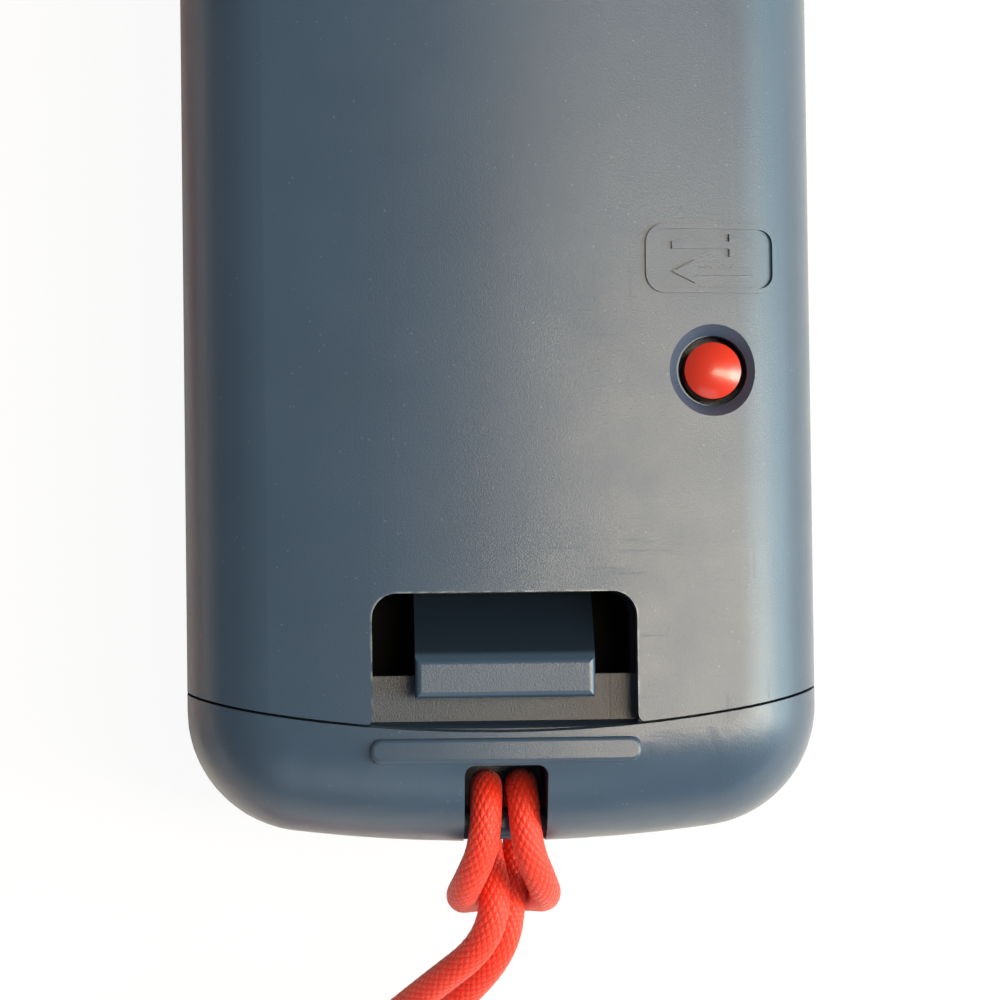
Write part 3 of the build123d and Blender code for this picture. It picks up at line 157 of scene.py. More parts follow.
class Paint:
    """One material under construction, with the places on the surface in millimetres."""

    def __init__(self, name: str) -> None:
        """Starts a material with a single surface shader."""
        self.material = bpy.data.materials.new(name)
        self.material.use_nodes = True
        self.tree = self.material.node_tree
        self.tree.nodes.clear()
        self.shader = self.tree.nodes.new("ShaderNodeBsdfPrincipled")
        output = self.tree.nodes.new("ShaderNodeOutputMaterial")
        self.tree.links.new(self.shader.outputs["BSDF"], output.inputs["Surface"])

    def node(self, kind: str, settings: dict, inputs: dict, output: int | str = 0) -> bpy.types.NodeSocket:
        """Makes one node.

        Args:
            kind: the node's type.
            settings: its own settings, set first.
            inputs: a value, socket, number or colour for each input by name or place.
            output: the output wanted.

        Returns:
            That output socket.
        """
        made = self.tree.nodes.new(kind)
        for key, setting in settings.items():
            setattr(made, key, setting)
        for key, given in inputs.items():
            self.feed(made.inputs[key], given)
        return made.outputs[output]

    def feed(self, socket: bpy.types.NodeSocket, given: object) -> None:
        """Links or sets one input socket."""
        if isinstance(given, Value):
            given = given.socket
        if isinstance(given, bpy.types.NodeSocket):
            self.tree.links.new(given, socket)
        elif isinstance(given, tuple) and socket.type == "RGBA":
            socket.default_value = (*given[:3], 1.0)
        else:
            socket.default_value = given

    def place(self, stretch: Point = (1.0, 1.0, 1.0)) -> bpy.types.NodeSocket:
        """Place on the piece in millimetres, each axis times its stretch."""
        at = self.node("ShaderNodeTexCoord", {}, {}, "Object")
        scale = tuple(axis / MM for axis in stretch)
        return self.node("ShaderNodeVectorMath", {"operation": "MULTIPLY"}, {0: at, 1: scale})

    def axes(self) -> tuple[Value, Value, Value]:
        """The place's three numbers in millimetres."""
        at = self.place()
        return tuple(Value(self, self.node("ShaderNodeSeparateXYZ", {}, {0: at}, axis)) for axis in range(3))

    def along_and_round(self) -> tuple[Value, Value]:
        """The two numbers of the piece's own map."""
        at = self.node("ShaderNodeTexCoord", {}, {}, "UV")
        return tuple(Value(self, self.node("ShaderNodeSeparateXYZ", {}, {0: at}, axis)) for axis in range(2))

    def noise(self, per_mm: float, detail: float = 3.0, stretch: Point = (1.0, 1.0, 1.0)) -> Value:
        """Soft noise from 0 to 1.

        Args:
            per_mm: how many lumps to the millimetre.
            detail: how many finer layers.
            stretch: factor on each axis.

        Returns:
            The noise as a value.
        """
        inputs = {"Vector": self.place(stretch), "Scale": per_mm, "Detail": detail, "Roughness": 0.55}
        return Value(self, self.node("ShaderNodeTexNoise", {}, inputs))

    def cells(self, per_mm: float) -> Value:
        """Distance to the middle of scattered cells, for grain."""
        inputs = {"Vector": self.place(), "Scale": per_mm}
        return Value(self, self.node("ShaderNodeTexVoronoi", {}, inputs))

    def blend(self, share: "float | Value", first: object, second: object) -> bpy.types.NodeSocket:
        """Mixes two colours by a share from 0 to 1."""
        made = self.tree.nodes.new("ShaderNodeMix")
        made.data_type = "RGBA"
        self.feed(made.inputs[0], share)
        self.feed(made.inputs[6], first)
        self.feed(made.inputs[7], second)
        return made.outputs[2]

    def relief(self, height: Value, depth: float) -> bpy.types.NodeSocket:
        """A bumped normal, with depth in millimetres."""
        return self.node("ShaderNodeBump", {}, {"Height": height, "Distance": depth * MM, "Strength": 1.0})

    def set(self, **sockets: object) -> None:
        """Feeds the shader's sockets, named with underscores for spaces."""
        for key, given in sockets.items():
            self.feed(self.shader.inputs[key.replace("_", " ")], given)


@dataclass(frozen=True)
class MouldedPlastic:
    """Injection-moulded plastic: a fine spark-eroded grain, faint flow marks, specks and hairline scuffs."""

    colour: Colour
    roughness: float = 0.34
    grain_per_mm: float = 11.0
    grain_depth: float = 0.005
    scuffs: float = 0.5
    coat: float = 0.0
    specks: float = 0.0

    def tone(self, paint: Paint) -> bpy.types.NodeSocket:
        """The plastic's colour with its soft drift and small pale specks."""
        drift = paint.noise(0.12, 2.0)
        dark = tuple(channel * 0.9 for channel in self.colour)
        pale = tuple(min(1.0, channel * 1.1 + 0.004) for channel in self.colour)
        base = paint.blend(drift, dark, pale)
        speck = paint.cells(2.2).step(0.16, 0.07) * paint.noise(0.9).step(0.5, 0.62) * self.specks
        return paint.blend(speck, base, tuple(min(1.0, channel * 1.6 + 0.04) for channel in self.colour))

    def scratches(self, paint: Paint) -> Value:
        """Thin streaks: the crests of noise that is drawn out along two slanting ways."""
        first = paint.noise(1.1, 2.0, (4.0, 0.12, 1.0))
        second = paint.noise(1.3, 2.0, (0.15, 3.4, 1.0))
        return (first.step(0.66, 0.72) + second.step(0.68, 0.74)).lower(1.0)

    def gloss(self, paint: Paint, scratch: Value) -> Value:
        """Roughness with soft wear and dulled scratches.

        Args:
            paint: the paint that the noise belongs to.
            scratch: mask of the scratches.

        Returns:
            The roughness.
        """
        wear = paint.noise(0.35, 4.0)
        return self.roughness + (wear - 0.5) * 0.12 + scratch * (0.12 * self.scuffs)

    def dress(self, paint: Paint) -> None:
        """Feeds colour, gloss and grain."""
        scratch = self.scratches(paint)
        rough = self.gloss(paint, scratch)
        grain = paint.cells(self.grain_per_mm) - scratch * (0.5 * self.scuffs)
        paint.set(Base_Color=self.tone(paint), Roughness=rough, Normal=paint.relief(grain, self.grain_depth))
        paint.set(Coat_Weight=self.coat, Coat_Roughness=0.12)


@dataclass(frozen=True)
class WornShell(MouldedPlastic):
    """The shell's plastic, with the pale worn rim of the latch cut-out, and painted shade on its ledge and
    down in its well.
    """

    cutout_half: float = 7.45
    cutout_top: float = -59.8
    cutout_foot: float = -67.3
    cutout_corner: float = 1.4
    ledge_start: float = -64.45
    well_floor: float = 22.4
    rim: float = 0.14
    rim_level: float = 23.2
    well_shade_roughness: float = 0.95
    worn_tone: Colour = (0.36, 0.4, 0.43)
    # ledge_shade_tone is the colour of the painted shade on the ledge, well_shade_tone that of the painted
    # shade down in the well.
    ledge_shade_tone: Colour = (0.007, 0.015, 0.028)
    well_shade_tone: Colour = (0.0015, 0.0015, 0.002)

    def from_rim(self, x: Value, y: Value) -> Value:
        """Distance to the cut-out's outline.

        Past the corners' centres the distance is that to a circle of the corner's radius, and
        elsewhere that to the straight side.

        Args:
            x: place across.
            y: place along.

        Returns:
            The distance, negative inside.
        """
        over_x = (abs(x) - (self.cutout_half - self.cutout_corner)).higher(0.0)
        over_y = (y - (self.cutout_top - self.cutout_corner)).higher(0.0)
        return (over_x * over_x + over_y * over_y).maths("SQRT") - self.cutout_corner

    def dress(self, paint: Paint) -> None:
        """Feeds the plastic, then lightens the cut-out's rim, and paints shade on its ledge and down in its
        well.
        """
        super().dress(paint)
        x, y, z = paint.axes()
        edge = self.from_rim(x, y)
        below = y.step(self.cutout_foot - 0.1, self.cutout_foot + 0.1)
        broken = paint.noise(1.3, 4.0).step(0.4, 0.66)
        rim = abs(edge).step(self.rim, 0.0) * below * broken * z.step(self.rim_level, self.rim_level + 0.4)
        worn = paint.blend(rim * 0.5, self.tone(paint), self.worn_tone)
        inside = edge.step(0.3, 0.0) * y.step(self.ledge_start - 0.05, self.ledge_start + 0.05)
        # Painted shade: the floor of the well is darkened nearly to black, and its roughness raised.
        well_shade = inside * z.step(self.well_floor + 0.2, self.well_floor - 0.2)
        # Painted shade: surfaces that lie low inside the cut-out are darkened towards a dark blue.
        shade = edge.step(0.3, 0.0) * below * z.step(23.0, 22.7)
        shaded = paint.blend(shade * 0.6, worn, self.ledge_shade_tone)
        paint.set(Base_Color=paint.blend(well_shade, shaded, self.well_shade_tone))
        plain = self.gloss(paint, self.scratches(paint))
        paint.set(Roughness=plain.higher(well_shade * self.well_shade_roughness))


@dataclass(frozen=True)
class LatchPlastic(MouldedPlastic):
    """The latch's plastic, with painted shade on the slope behind its finger tab."""

    slope_start: float = -63.3
    # Colour of the painted shade on the slope.
    slope_shade: Colour = (0.003, 0.006, 0.012)

    def dress(self, paint: Paint) -> None:
        """Feeds the plastic, then the painted shade on the slope."""
        super().dress(paint)
        _, y, _ = paint.axes()
        behind = y.step(self.slope_start - 0.1, self.slope_start + 0.25)
        # Painted shade: the slope behind the finger tab is darkened nearly to black.
        paint.set(Base_Color=paint.blend(behind * 0.85, self.tone(paint), self.slope_shade))


@dataclass(frozen=True)
class MarkedKey(MouldedPlastic):
    """A key's glossy plastic with a grey mark printed on its face."""

    mark: Mark = Mark.NONE
    middle: tuple[float, float] = (0.0, 0.0)
    size: float = 1.3
    ink: Colour = (0.16, 0.2, 0.24)

    def box(self, x: Value, y: Value, half_x: float, half_y: float) -> Value:
        """A soft-edged rectangle about the key's middle."""
        return abs(x).step(half_x + 0.04, half_x - 0.04) * abs(y).step(half_y + 0.04, half_y - 0.04)

    def disc(self, x: Value, y: Value, radius: float) -> Value:
        """A soft-edged disc."""
        return (x * x + y * y).maths("SQRT").step(radius + 0.04, radius - 0.04)

    def drawing(self, paint: Paint) -> Value:
        """The mark as a share from 0 to 1."""
        place_x, place_y, height = paint.axes()
        x = place_x - self.middle[0]
        y = place_y - self.middle[1]
        thin = 0.19 * self.size
        if self.mark is Mark.BAR:
            shape = self.box(x, y, self.size, thin)
        elif self.mark is Mark.CROSS:
            shape = self.box(x, y, self.size, thin).higher(self.box(x, y, thin, self.size))
        elif self.mark is Mark.HOUSE:
            wall = self.box(x, y + 0.35 * self.size, 0.62 * self.size, 0.45 * self.size)
            roof = (abs(x) + y * 1.1).step(self.size + 0.05, self.size - 0.05) * y.step(0.02, 0.1)
            shape = wall.higher(roof)
        elif self.mark is Mark.RING:
            shape = self.disc(x, y, self.size) - self.disc(x, y, self.size - 2 * thin)
        elif self.mark is Mark.ONE_DOT:
            shape = self.disc(x, y, 0.4 * self.size)
        elif self.mark is Mark.TWO_DOTS:
            shape = self.disc(x - 0.7 * self.size, y, 0.4 * self.size)
            shape = shape.higher(self.disc(x + 0.7 * self.size, y, 0.4 * self.size))
        else:
            shape = x * 0.0
        return shape * height.step(0.6, 0.5)

    def dress(self, paint: Paint) -> None:
        """Feeds the plastic, then the printed mark."""
        super().dress(paint)
        paint.set(Base_Color=paint.blend(self.drawing(paint), self.tone(paint), self.ink))


@dataclass(frozen=True)
class Rubber:
    """Matt silicone rubber with a powdery bloom."""

    colour: Colour

    def dress(self, paint: Paint) -> None:
        """Feeds colour, gloss and a soft skin."""
        bloom = paint.noise(0.6, 4.0)
        base = paint.blend(bloom, self.colour, tuple(channel * 1.2 for channel in self.colour))
        paint.set(Base_Color=base, Roughness=0.62 + bloom * 0.2, Normal=paint.relief(paint.noise(4.0), 0.02))


@dataclass(frozen=True)
class TurnedMetal:
    """Metal with fine tool marks and slight tarnish."""

    colour: Colour
    roughness: float = 0.28
    tarnish: float = 0.25

    def dress(self, paint: Paint) -> None:
        """Feeds colour, gloss and the tool marks."""
        streak = paint.noise(3.0, 3.0, (6.0, 0.4, 6.0))
        stain = paint.noise(0.4, 4.0).step(0.45, 0.75)
        dull = tuple(channel * 0.62 for channel in self.colour)
        base = paint.blend(stain * self.tarnish, self.colour, dull)
        rough = self.roughness + streak * 0.1 + stain * 0.12
        paint.set(Base_Color=base, Roughness=rough, Metallic=1.0, Normal=paint.relief(streak, 0.006))


@dataclass(frozen=True)
class LacqueredBoard:
    """Glass-fibre board: green lacquer over copper tracks, with tinned pads and fine weave."""

    lacquer: Colour = (0.012, 0.12, 0.045)
    track: Colour = (0.03, 0.22, 0.08)
    tin: Colour = (0.55, 0.55, 0.53)

    def dress(self, paint: Paint) -> None:
        """Feeds tracks in two ways that swap from patch to patch, and pads."""
        x, y, _ = paint.axes()
        patch = paint.noise(0.11, 0.0).step(0.49, 0.51)
        bend = paint.noise(0.12, 0.0) * 4.0
        lengthways = (x * 4.2 + bend).wave().step(0.35, 0.55)
        across = (y * 4.2 + bend).wave().step(0.35, 0.55)
        tracks = lengthways * patch + across * (1.0 - patch)
        pads = paint.cells(0.55).step(0.22, 0.19) * 0.9
        base = paint.blend(tracks, self.lacquer, self.track)
        base = paint.blend(pads, base, self.tin)
        weave = (x * 14.0).wave() * (y * 14.0).wave()
        height = tracks * 0.6 + pads + weave * 0.08
        paint.set(Base_Color=base, Roughness=0.3 + pads * 0.15, Normal=paint.relief(height, 0.03))


@dataclass(frozen=True)
class CellFilm:
    """The printed film round a cell: dark, with one copper-coloured band and bare steel ends."""

    length: tuple[float, float]
    body: Colour = (0.018, 0.022, 0.03)
    band: Colour = (0.42, 0.19, 0.06)
    steel: Colour = (0.6, 0.6, 0.58)

    def dress(self, paint: Paint) -> None:
        """Feeds the band, the wrap and the steel by the place along the cell."""
        _, y, _ = paint.axes()
        low, high = self.length
        wear = paint.noise(0.8, 3.0)
        banded = y.step(high - 14.0, high - 13.9)
        ends = y.step(low + 0.7, low + 0.6).higher(y.step(high - 1.7, high - 1.6))
        base = paint.blend(banded, self.body, self.band)
        base = paint.blend(ends, base, self.steel)
        shine = (banded * 0.7).higher(ends)
        rough = 0.24 + wear * 0.14
        paint.set(Base_Color=base, Metallic=shine, Roughness=rough, Normal=paint.relief(wear, 0.01))


@dataclass(frozen=True)
class ClearPlastic:
    """Tinted or milky clear plastic, polished outside."""

    colour: Colour
    through: float = 0.0
    roughness: float = 0.08

    def dress(self, paint: Paint) -> None:
        """Feeds colour and gloss, with faint smears."""
        smear = paint.noise(0.5, 4.0)
        pale = tuple(min(1.0, channel * 1.3) for channel in self.colour)
        base = paint.blend(smear * 0.4, self.colour, pale)
        paint.set(Base_Color=base, Roughness=self.roughness + smear * 0.06)
        paint.set(Coat_Weight=1.0, Coat_Roughness=0.03)
        paint.set(Transmission_Weight=self.through, IOR=1.49, Normal=paint.relief(smear, 0.004))


@dataclass(frozen=True)
class Braid:
    """Round braid: bundles that cross in diamonds, each of many shining filaments."""

    colour: Colour = (0.80, 0.030, 0.008)
    # Colour of the painted shade in the grooves between the bundles.
    groove_shade: Colour = (0.56, 0.013, 0.004)
    diamonds: float = 14.0
    pitch: float = 0.6

    def dress(self, paint: Paint) -> None:
        """Feeds the crossing bundles, with painted shade in the grooves between them, from the map: along in
        millimetres, round from 0 to 1.
        """
        along, round_share = paint.along_and_round()
        left = along * (math.pi / self.pitch) + round_share * (math.pi * self.diamonds)
        right = along * (math.pi / self.pitch) - round_share * (math.pi * self.diamonds)
        ridge = abs(left.wave()).lower(abs(right.wave()))
        crown = abs(left.wave() * right.wave())
        strand = ((left - right) * 4.0).wave() * 0.5 + ((left + right) * 6.0).wave() * 0.5
        fuzz = paint.noise(9.0, 3.0)
        # Painted shade: the grooves between the bundles are darkened, a little varied by the fibre noise.
        base = paint.blend(ridge.step(0.02, 0.5) * (0.75 + fuzz * 0.25), self.groove_shade, self.colour)
        base = paint.blend(fuzz.step(0.5, 0.75) * 0.45, base, (0.92, 0.09, 0.02))
        base = paint.blend(paint.noise(2.2, 3.0).step(0.5, 0.8) * 0.5, base, (0.5, 0.008, 0.003))
        height = crown * 1.0 + strand * 0.12 + fuzz * 0.2
        paint.set(Base_Color=base, Roughness=0.62 - crown * 0.15, Normal=paint.relief(height, 0.05))
        paint.set(Sheen_Weight=0.08, Sheen_Roughness=0.4)


@dataclass(frozen=True)
class Webbing:
    """Flat woven band: lengthways ribs crossed by close picks, with a rounded selvedge."""

    colour: Colour = (0.62, 0.026, 0.012)
    # Colour of the painted shade in the grooves of the weave.
    groove_shade: Colour = (0.15, 0.003, 0.002)
    ribs: float = 11.0
    pick: float = 0.55

    def dress(self, paint: Paint) -> None:
        """Feeds the weave, with painted shade in its grooves, from the map: along in millimetres, round from
        0 to 1.
        """
        along, round_share = paint.along_and_round()
        rib = abs((round_share * (math.pi * self.ribs * 2)).wave())
        half = round_share * (math.pi * self.ribs * 2)
        pick = abs((along * (math.pi / self.pick) + half).wave())
        cloth = rib * (0.35 + pick * 0.65)
        fuzz = paint.noise(8.0, 3.0)
        # Painted shade: the grooves between ribs and picks are darkened, a little varied by the fibre noise.
        base = paint.blend(cloth.step(0.05, 0.6) * (0.7 + fuzz * 0.3), self.groove_shade, self.colour)
        relief = paint.relief(cloth + fuzz * 0.2, 0.1)
        paint.set(Base_Color=base, Roughness=0.66 - cloth * 0.12, Normal=relief)
        paint.set(Sheen_Weight=0.3, Sheen_Roughness=0.45)


def flowing_line(route: tuple[Point, ...], step_mm: float) -> np.ndarray:
    """Points along a smooth line steered by a route.

    Each inner point of the route pulls one parabola, which starts and ends half way to its
    neighbours; the line begins and ends at the route's own ends. The points are then spaced
    evenly by their distance along it.

    Args:
        route: the steering points in millimetres.
        step_mm: the distance between the points returned.

    Returns:
        Points in millimetres, one a row.
    """
    steer = np.array(route, dtype=float)
    starts = (steer[:-2] + steer[1:-1]) / 2
    ends = (steer[1:-1] + steer[2:]) / 2
    starts[0] = steer[0]
    ends[-1] = steer[-1]
    share = np.linspace(0.0, 1.0, 60, endpoint=False)[None, :, None]
    rest = 1 - share
    arcs = rest**2 * starts[:, None] + 2 * share * rest * steer[1:-1, None] + share**2 * ends[:, None]
    line = np.vstack([arcs.reshape(-1, 3), steer[-1:]])
    travelled = np.concatenate([[0.0], np.cumsum(np.linalg.norm(np.diff(line, axis=0), axis=1))])
    wanted = np.linspace(0.0, travelled[-1], max(2, round(travelled[-1] / step_mm)) + 1)
    return np.stack([np.interp(wanted, travelled, line[:, axis]) for axis in range(3)], axis=1)


def line_length(line: np.ndarray) -> float:
    """Length of a line of points, in the points' unit."""
    return float(np.linalg.norm(np.diff(line, axis=0), axis=1).sum())


def carried_frames(line: np.ndarray, first_side: Point) -> tuple[np.ndarray, np.ndarray]:
    """Two cross directions at each point of a line that turn with it and never spin about it.

    Args:
        line: points in order.
        first_side: the side direction at the start.

    Returns:
        The side and the other cross direction at each point.
    """
    heading = np.gradient(line, axis=0)
    heading /= np.linalg.norm(heading, axis=1, keepdims=True)
    sides = np.empty_like(line)
    side = np.array(first_side, dtype=float)
    for station, way in enumerate(heading):
        side = side - way * (side @ way)
        side /= np.linalg.norm(side)
        sides[station] = side
    return sides, np.cross(heading, sides)


def tube_object(name: str, rings: np.ndarray, along_mm: np.ndarray) -> bpy.types.Object:
    """A closed tube through rings of points, with a map of (distance along, share round).

    Args:
        name: the object's name.
        rings: array (stations, round, 3) in millimetres.
        along_mm: each ring's distance along the line.

    Returns:
        The object at the origin, with smooth faces.
    """
    stations, around = rings.shape[:2]
    ring, spoke = np.meshgrid(np.arange(stations - 1), np.arange(around), indexing="ij")
    after = (spoke + 1) % around
    near, far = ring * around, (ring + 1) * around
    corners = [near + spoke, near + after, far + after, far + spoke]
    walls = np.stack(corners, axis=-1).reshape(-1, 4)
    caps = [list(range(around))[::-1], list(range((stations - 1) * around, stations * around))]
    mesh = bpy.data.meshes.new(name)
    mesh.from_pydata((rings.reshape(-1, 3) * MM).tolist(), [], walls.tolist() + caps)
    u = np.stack([along_mm[ring], along_mm[ring], along_mm[ring + 1], along_mm[ring + 1]], axis=-1)
    v = np.stack([spoke, spoke + 1, spoke + 1, spoke], axis=-1) / around
    flat = np.zeros((len(mesh.loops), 2))
    flat[: walls.size] = np.stack([u.reshape(-1), v.reshape(-1)], axis=1)
    mesh.uv_layers.new(name="along_round").data.foreach_set("uv", flat.reshape(-1))
    mesh.polygons.foreach_set("use_smooth", np.ones(len(mesh.polygons), dtype=bool))
    mesh.update()
    made = bpy.data.objects.new(name, mesh)
    bpy.context.scene.collection.objects.link(made)
    return made


def dressed(target: bpy.types.Object, finish: object) -> bpy.types.Object:
    """Gives an object one finish in all its slots.

    Args:
        target: the object.
        finish: a finish with a dress method.

    Returns:
        The same object.
    """
    paint = Paint(f"{target.name} finish")
    finish.dress(paint)
    slots = target.data.materials
    if not slots:
        slots.append(paint.material)
    for place in range(len(slots)):
        slots[place] = paint.material
    return target


@dataclass
class Strap:
    """The braided cord hitched on the bar, its moulded ferrule, and the wrist band with its lock."""

    cord_diameter: float = 1.8
    cord_route: tuple[Point, ...] = (
        (-44.95, -88.0, 1.9), (-44.95, -92.6, 1.9), (-40.8, -98.2, 0.9), (-34.4, -100.6, 0.9),
        (-28.2, -99.6, 0.9), (-19.6, -95.6, 1.5), (-13.0, -90.2, 4.4), (-7.9, -86.0, 9.0),
        (-4.1, -82.6, 13.8), (-1.2, -80.2, 16.6), (-0.35, -77.3, 17.5), (-1.0, -74.6, 15.9),
        (-1.0, -70.75, 16.1), (-1.0, -70.75, 20.9), (-1.2, -74.2, 21.0), (-2.1, -76.3, 19.3),
        (-2.55, -77.4, 16.1), (-1.75, -77.5, 12.9), (1.75, -77.5, 12.8), (2.55, -77.4, 16.0),
        (2.1, -76.3, 19.2), (1.2, -74.2, 21.0), (1.0, -70.75, 20.9), (1.0, -70.75, 16.1),
        (0.95, -74.4, 15.5), (0.5, -77.2, 15.3), (0.1, -80.4, 14.8), (-2.4, -83.6, 11.8),
        (-6.8, -87.2, 6.8), (-12.0, -92.6, 2.6), (-18.6, -97.9, 1.1), (-27.6, -101.8, 0.9),
        (-34.4, -102.9, 0.9), (-41.8, -100.4, 0.9), (-47.0, -93.6, 1.9), (-47.0, -88.0, 1.9),
    )
    cord_around: int = 40
    cord_step: float = 0.16
    cord_relief: float = 0.012
    band_width: float = 5.0
    band_thickness: float = 1.2
    band_route: tuple[tuple[float, float], ...] = (
        (-45.2, -80.0), (-45.2, -53.0), (-36.0, -27.5), (-24.5, -8.0), (-24.5, 2.45), (-27.95, 8.43),
        (-33.93, 11.88), (-40.83, 11.88), (-46.81, 8.43), (-50.26, 2.45), (-50.26, -24.0), (-46.75, -53.0),
        (-46.75, -80.0),
    )
    band_around: int = 48
    band_step: float = 0.25
    braid: Braid = field(default_factory=Braid)
    webbing: Webbing = field(default_factory=Webbing)

    def cord(self) -> bpy.types.Object:
        """The braided cord.

        A circle is carried along the flowing line. Its radius swells where two helices that
        wind opposite ways both crest, so the bundles stand out as diamonds.

        Returns:
            The finished cord.
        """
        line = flowing_line(self.cord_route, self.cord_step)
        side, other = carried_frames(line, (1.0, 0.0, 0.0))
        along = np.linspace(0.0, line_length(line), len(line))
        turn = np.linspace(0.0, 2 * math.pi, self.cord_around, endpoint=False)
        pull = math.pi * along[:, None] / self.braid.pitch
        lean = turn[None, :] * self.braid.diamonds / 2
        crown = np.abs(np.sin(pull + lean) * np.sin(pull - lean))
        radius = self.cord_diameter / 2 - self.cord_relief + self.cord_relief * 2 * crown
        round_side = radius[..., None] * np.cos(turn)[None, :, None] * side[:, None, :]
        round_other = radius[..., None] * np.sin(turn)[None, :, None] * other[:, None, :]
        rings = line[:, None, :] + round_side + round_other
        cord = dressed(tube_object("braided_cord", rings, along), self.braid)
        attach(cord, "casing")
        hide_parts("strap_cord")
        log.info("braided cord: %.1f mm", line_length(line))
        return cord

    def band(self) -> bpy.types.Object:
        """The flat wrist band, lying on its edge.

        The outline round the section is a rounded rectangle: the sine and cosine of the turn are
        raised to a low power, which flattens the two faces and keeps the selvedges round.

        Returns:
            The finished band.
        """
        middle = self.band_width / 2
        line = flowing_line(tuple((x, y, middle) for x, y in self.band_route), self.band_step)
        side, other = carried_frames(line, (0.0, 0.0, 1.0))
        along = np.linspace(0.0, line_length(line), len(line))
        turn = np.linspace(0.0, 2 * math.pi, self.band_around, endpoint=False)
        wide = np.sign(np.cos(turn)) * np.abs(np.cos(turn)) ** 0.7 * self.band_width / 2
        thick = np.sign(np.sin(turn)) * np.abs(np.sin(turn)) ** 0.35 * self.band_thickness / 2
        across = wide[None, :, None] * side[:, None, :] + thick[None, :, None] * other[:, None, :]
        rings = line[:, None, :] + across
        band = dressed(tube_object("woven_band", rings, along), self.webbing)
        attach(band, "casing")
        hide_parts("wrist_band")
        log.info("woven band: %.1f mm", line_length(line))
        return band


@dataclass
class Wardrobe:
    """The finish of every piece that comes from the frame."""

    slate: Colour = (0.029, 0.056, 0.098)
    key_pale: Colour = (0.66, 0.69, 0.71)
    keys: dict[str, tuple[float, float, Mark]] = field(default_factory=lambda: {
        "a_button": (0.0, 27.0, Mark.RING),
        "minus_button": (-10.0, 9.0, Mark.BAR),
        "home_button": (0.0, 9.0, Mark.HOUSE),
        "plus_button": (10.0, 9.0, Mark.CROSS),
        "one_button": (0.0, -32.0, Mark.ONE_DOT),
        "two_button": (0.0, -44.0, Mark.TWO_DOTS),
        "d_pad": (0.0, 52.0, Mark.NONE),
    })

    def finishes(self) -> dict[str, object]:
        """The finish of each node by name."""
        shell = WornShell(colour=self.slate, specks=0.7)
        red = MouldedPlastic(
            colour=(0.46, 0.020, 0.005), roughness=0.3, grain_depth=0.002, scuffs=0.3, coat=0.25
        )
        dark = MouldedPlastic(colour=(0.018, 0.018, 0.021), roughness=0.5, grain_depth=0.02)
        steel = TurnedMetal(colour=(0.56, 0.56, 0.55))
        nickel = TurnedMetal(colour=(0.72, 0.69, 0.63), roughness=0.16, tarnish=0.15)
        chip = MouldedPlastic(colour=(0.014, 0.014, 0.015), roughness=0.56, grain_depth=0.01, scuffs=0.1)
        rubber = Rubber(colour=(0.36, 0.37, 0.38))
        board = LacqueredBoard()
        table = {
            **{name: shell for name in ("front_cover", "back_cover", "battery_cover")},
            "cover_latch": LatchPlastic(colour=self.slate),
            "trigger": MouldedPlastic(colour=self.slate, specks=0.5),
            **{name: red for name in ("sync_button", "power_button")},
            **{name: dark for name in ("sync_switch", "d_pad_pivot", "trigger_bracket", "infrared_camera")},
            **{name: dark for name in ("expansion_socket", "cord_ferrule", "band_slider")},
            **{name: steel for name in ("trigger_pin", "case_screws", "rumble_motor", "rumble_weight")},
            **{name: nickel for name in ("battery_springs", "cell_contacts", "bridge_contact")},
            **{name: chip for name in ("radio_chip", "accelerometer_chip", "gyroscope_chip")},
            **{name: rubber for name in ("upper_keypad", "lower_keypad", "trigger_dome")},
            **{name: board for name in ("circuit_board", "trigger_board")},
            "capacitors": MouldedPlastic(colour=(0.36, 0.24, 0.13), roughness=0.4, scuffs=0.1),
            "indicator_leds": ClearPlastic(colour=(0.25, 0.45, 0.8)),
            "indicator_lenses": ClearPlastic(colour=(0.62, 0.7, 0.76), through=0.35, roughness=0.2),
            "speaker": MouldedPlastic(colour=(0.03, 0.03, 0.033), roughness=0.45),
            "sensor_window": ClearPlastic(colour=(0.012, 0.006, 0.009)),
            "socket_contacts": TurnedMetal(colour=(0.86, 0.62, 0.24), roughness=0.18, tarnish=0.1),
        }
        for side in ("right_cell", "left_cell"):
            low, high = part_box(side)
            table[side] = CellFilm(length=(low[1] / MM, high[1] / MM))
        for name, (x, y, mark) in self.keys.items():
            size = 2.2 if name == "a_button" else 1.25
            table[name] = MarkedKey(
                colour=self.key_pale, roughness=0.2, grain_depth=0.003, coat=0.4,
                mark=mark, middle=(x, y), size=size,
            )
        return table

    def dress_all(self) -> None:
        """Dresses each node that stays in view."""
        for name, finish in self.finishes().items():
            dressed(frame["nodes"][name], finish)
            log.info("dressed %s", name)


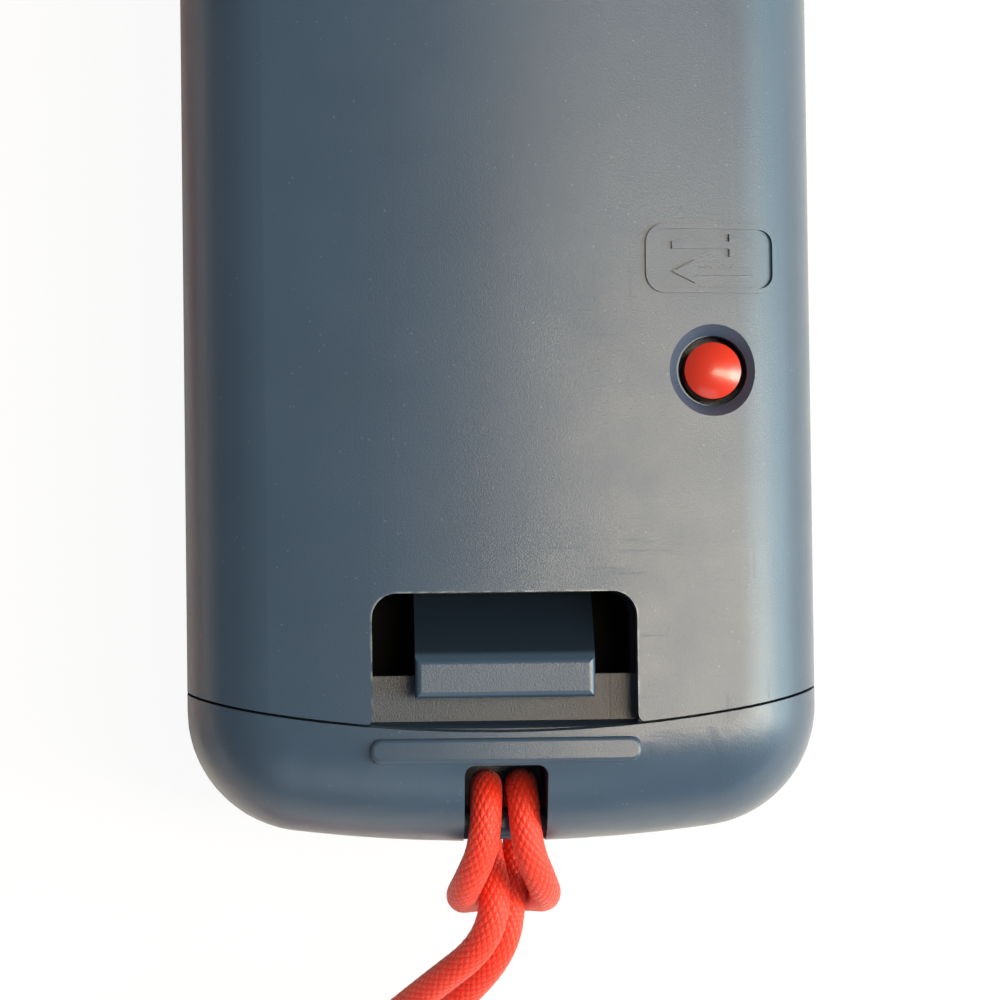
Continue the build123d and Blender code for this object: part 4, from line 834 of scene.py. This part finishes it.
@dataclass
class Studio:
    """Floor, soft lamps and the camera above the strap end."""

    target: Point = (0.0, -56.65, 24.5)
    azimuth: float = -51.925
    elevation: float = 87.437
    roll: float = -0.727
    distance: float = 220.381
    focal_px: float = 3936.66
    shift_px: tuple[float, float] = (-3.9, 35.7)
    frame_px: float = 1000.0
    floor_glow: float = 0.93

    def floor(self) -> None:
        """A plain pale floor."""
        mesh = bpy.data.meshes.new("floor")
        reach = 3.0
        corners = [(-reach, -reach, 0), (reach, -reach, 0), (reach, reach, 0), (-reach, reach, 0)]
        mesh.from_pydata(corners, [], [(0, 1, 2, 3)])
        floor = bpy.data.objects.new("floor", mesh)
        bpy.context.scene.collection.objects.link(floor)
        paint = Paint("pale floor")
        paint.set(Base_Color=(0.9, 0.9, 0.9), Roughness=0.9)
        seen = paint.node("ShaderNodeLightPath", {}, {}, "Is Camera Ray")
        glow = paint.node("ShaderNodeEmission", {}, {"Color": (1.0, 1.0, 1.0), "Strength": 1.0})
        share = Value(paint, seen) * self.floor_glow
        shown = paint.node("ShaderNodeMixShader", {}, {0: share, 1: paint.shader.outputs["BSDF"], 2: glow})
        paint.tree.links.new(shown, paint.tree.get_output_node("ALL").inputs["Surface"])
        mesh.materials.append(paint.material)

    def lamp(self, name: str, place: Point, size: tuple[float, float], power: float, colour: Colour) -> None:
        """One soft lamp that faces the wand.

        Args:
            name: the lamp's name.
            place: its middle in metres.
            size: width and length in metres.
            power: watts.
            colour: its light's colour.
        """
        data = bpy.data.lights.new(name, "AREA")
        data.shape = "RECTANGLE"
        data.size, data.size_y = size
        data.energy = power
        data.color = colour
        lamp = bpy.data.objects.new(name, data)
        lamp.location = place
        lamp.rotation_mode = "QUATERNION"
        lamp.rotation_quaternion = (Vector((0.0, -0.03, 0.0)) - Vector(place)).to_track_quat("-Z", "Y")
        bpy.context.scene.collection.objects.link(lamp)

    def light(self) -> None:
        """World and lamps at a plain level."""
        world = bpy.context.scene.world or bpy.data.worlds.new("soft room")
        bpy.context.scene.world = world
        world.use_nodes = True
        ground = world.node_tree.nodes["Background"]
        ground.inputs["Color"].default_value = (1.0, 1.0, 1.0, 1.0)
        ground.inputs["Strength"].default_value = 0.24
        self.lamp("warm strip", (0.34, -0.10, 0.47), (0.16, 0.7), 6.0, (1.0, 0.82, 0.60))
        self.lamp("cool side", (0.62, -0.10, 0.24), (0.3, 0.6), 4.4, (0.78, 1.0, 1.0))
        self.lamp("low front", (-0.10, -0.70, 0.45), (0.6, 0.4), 1.1, (0.92, 0.97, 1.0))

    def camera(self) -> None:
        """The camera at the photograph's place."""
        azimuth, elevation = math.radians(self.azimuth), math.radians(self.elevation)
        away = Vector((
            math.cos(elevation) * math.sin(azimuth),
            -math.cos(elevation) * math.cos(azimuth),
            math.sin(elevation),
        ))
        right = (-away).cross(Vector((0, 1, 0))).normalized()
        up = right.cross(-away)
        turn = math.radians(self.roll)
        side = right * math.cos(turn) + up * math.sin(turn)
        top = up * math.cos(turn) - right * math.sin(turn)
        data = bpy.data.cameras.new("camera above")
        data.sensor_width = 36.0
        data.lens = self.focal_px / self.frame_px * data.sensor_width
        data.shift_x = self.shift_px[0] / self.frame_px
        data.shift_y = self.shift_px[1] / self.frame_px
        data.clip_start, data.clip_end = 0.01, 20.0
        eye = bpy.data.objects.new("camera above", data)
        eye.matrix_world = Matrix.Translation((Vector(self.target) + away * self.distance) * MM) @ Matrix(
            ((side.x, top.x, away.x), (side.y, top.y, away.y), (side.z, top.z, away.z))
        ).to_4x4()
        bpy.context.scene.collection.objects.link(eye)
        bpy.context.scene.camera = eye


def clear_start_objects() -> None:
    """Removes what a new file opens with, and keeps the frame."""
    kept = set(frame["nodes"].values()) | set(frame["bodies"].values())
    for thing in list(bpy.data.objects):
        if thing not in kept and thing.type in {"MESH", "LIGHT", "CAMERA"}:
            bpy.data.objects.remove(thing, do_unlink=True)


def main() -> None:
    """Dresses the wand, lays its strap, and sets the studio."""
    logging.basicConfig(level=logging.INFO, format="%(name)s: %(message)s")
    clear_start_objects()
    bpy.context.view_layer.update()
    Wardrobe().dress_all()
    strap = Strap()
    strap.cord()
    strap.band()
    studio = Studio()
    studio.floor()
    studio.light()
    studio.camera()
    bpy.context.scene.view_settings.view_transform = "Standard"


if __name__ == "__main__":
    main()
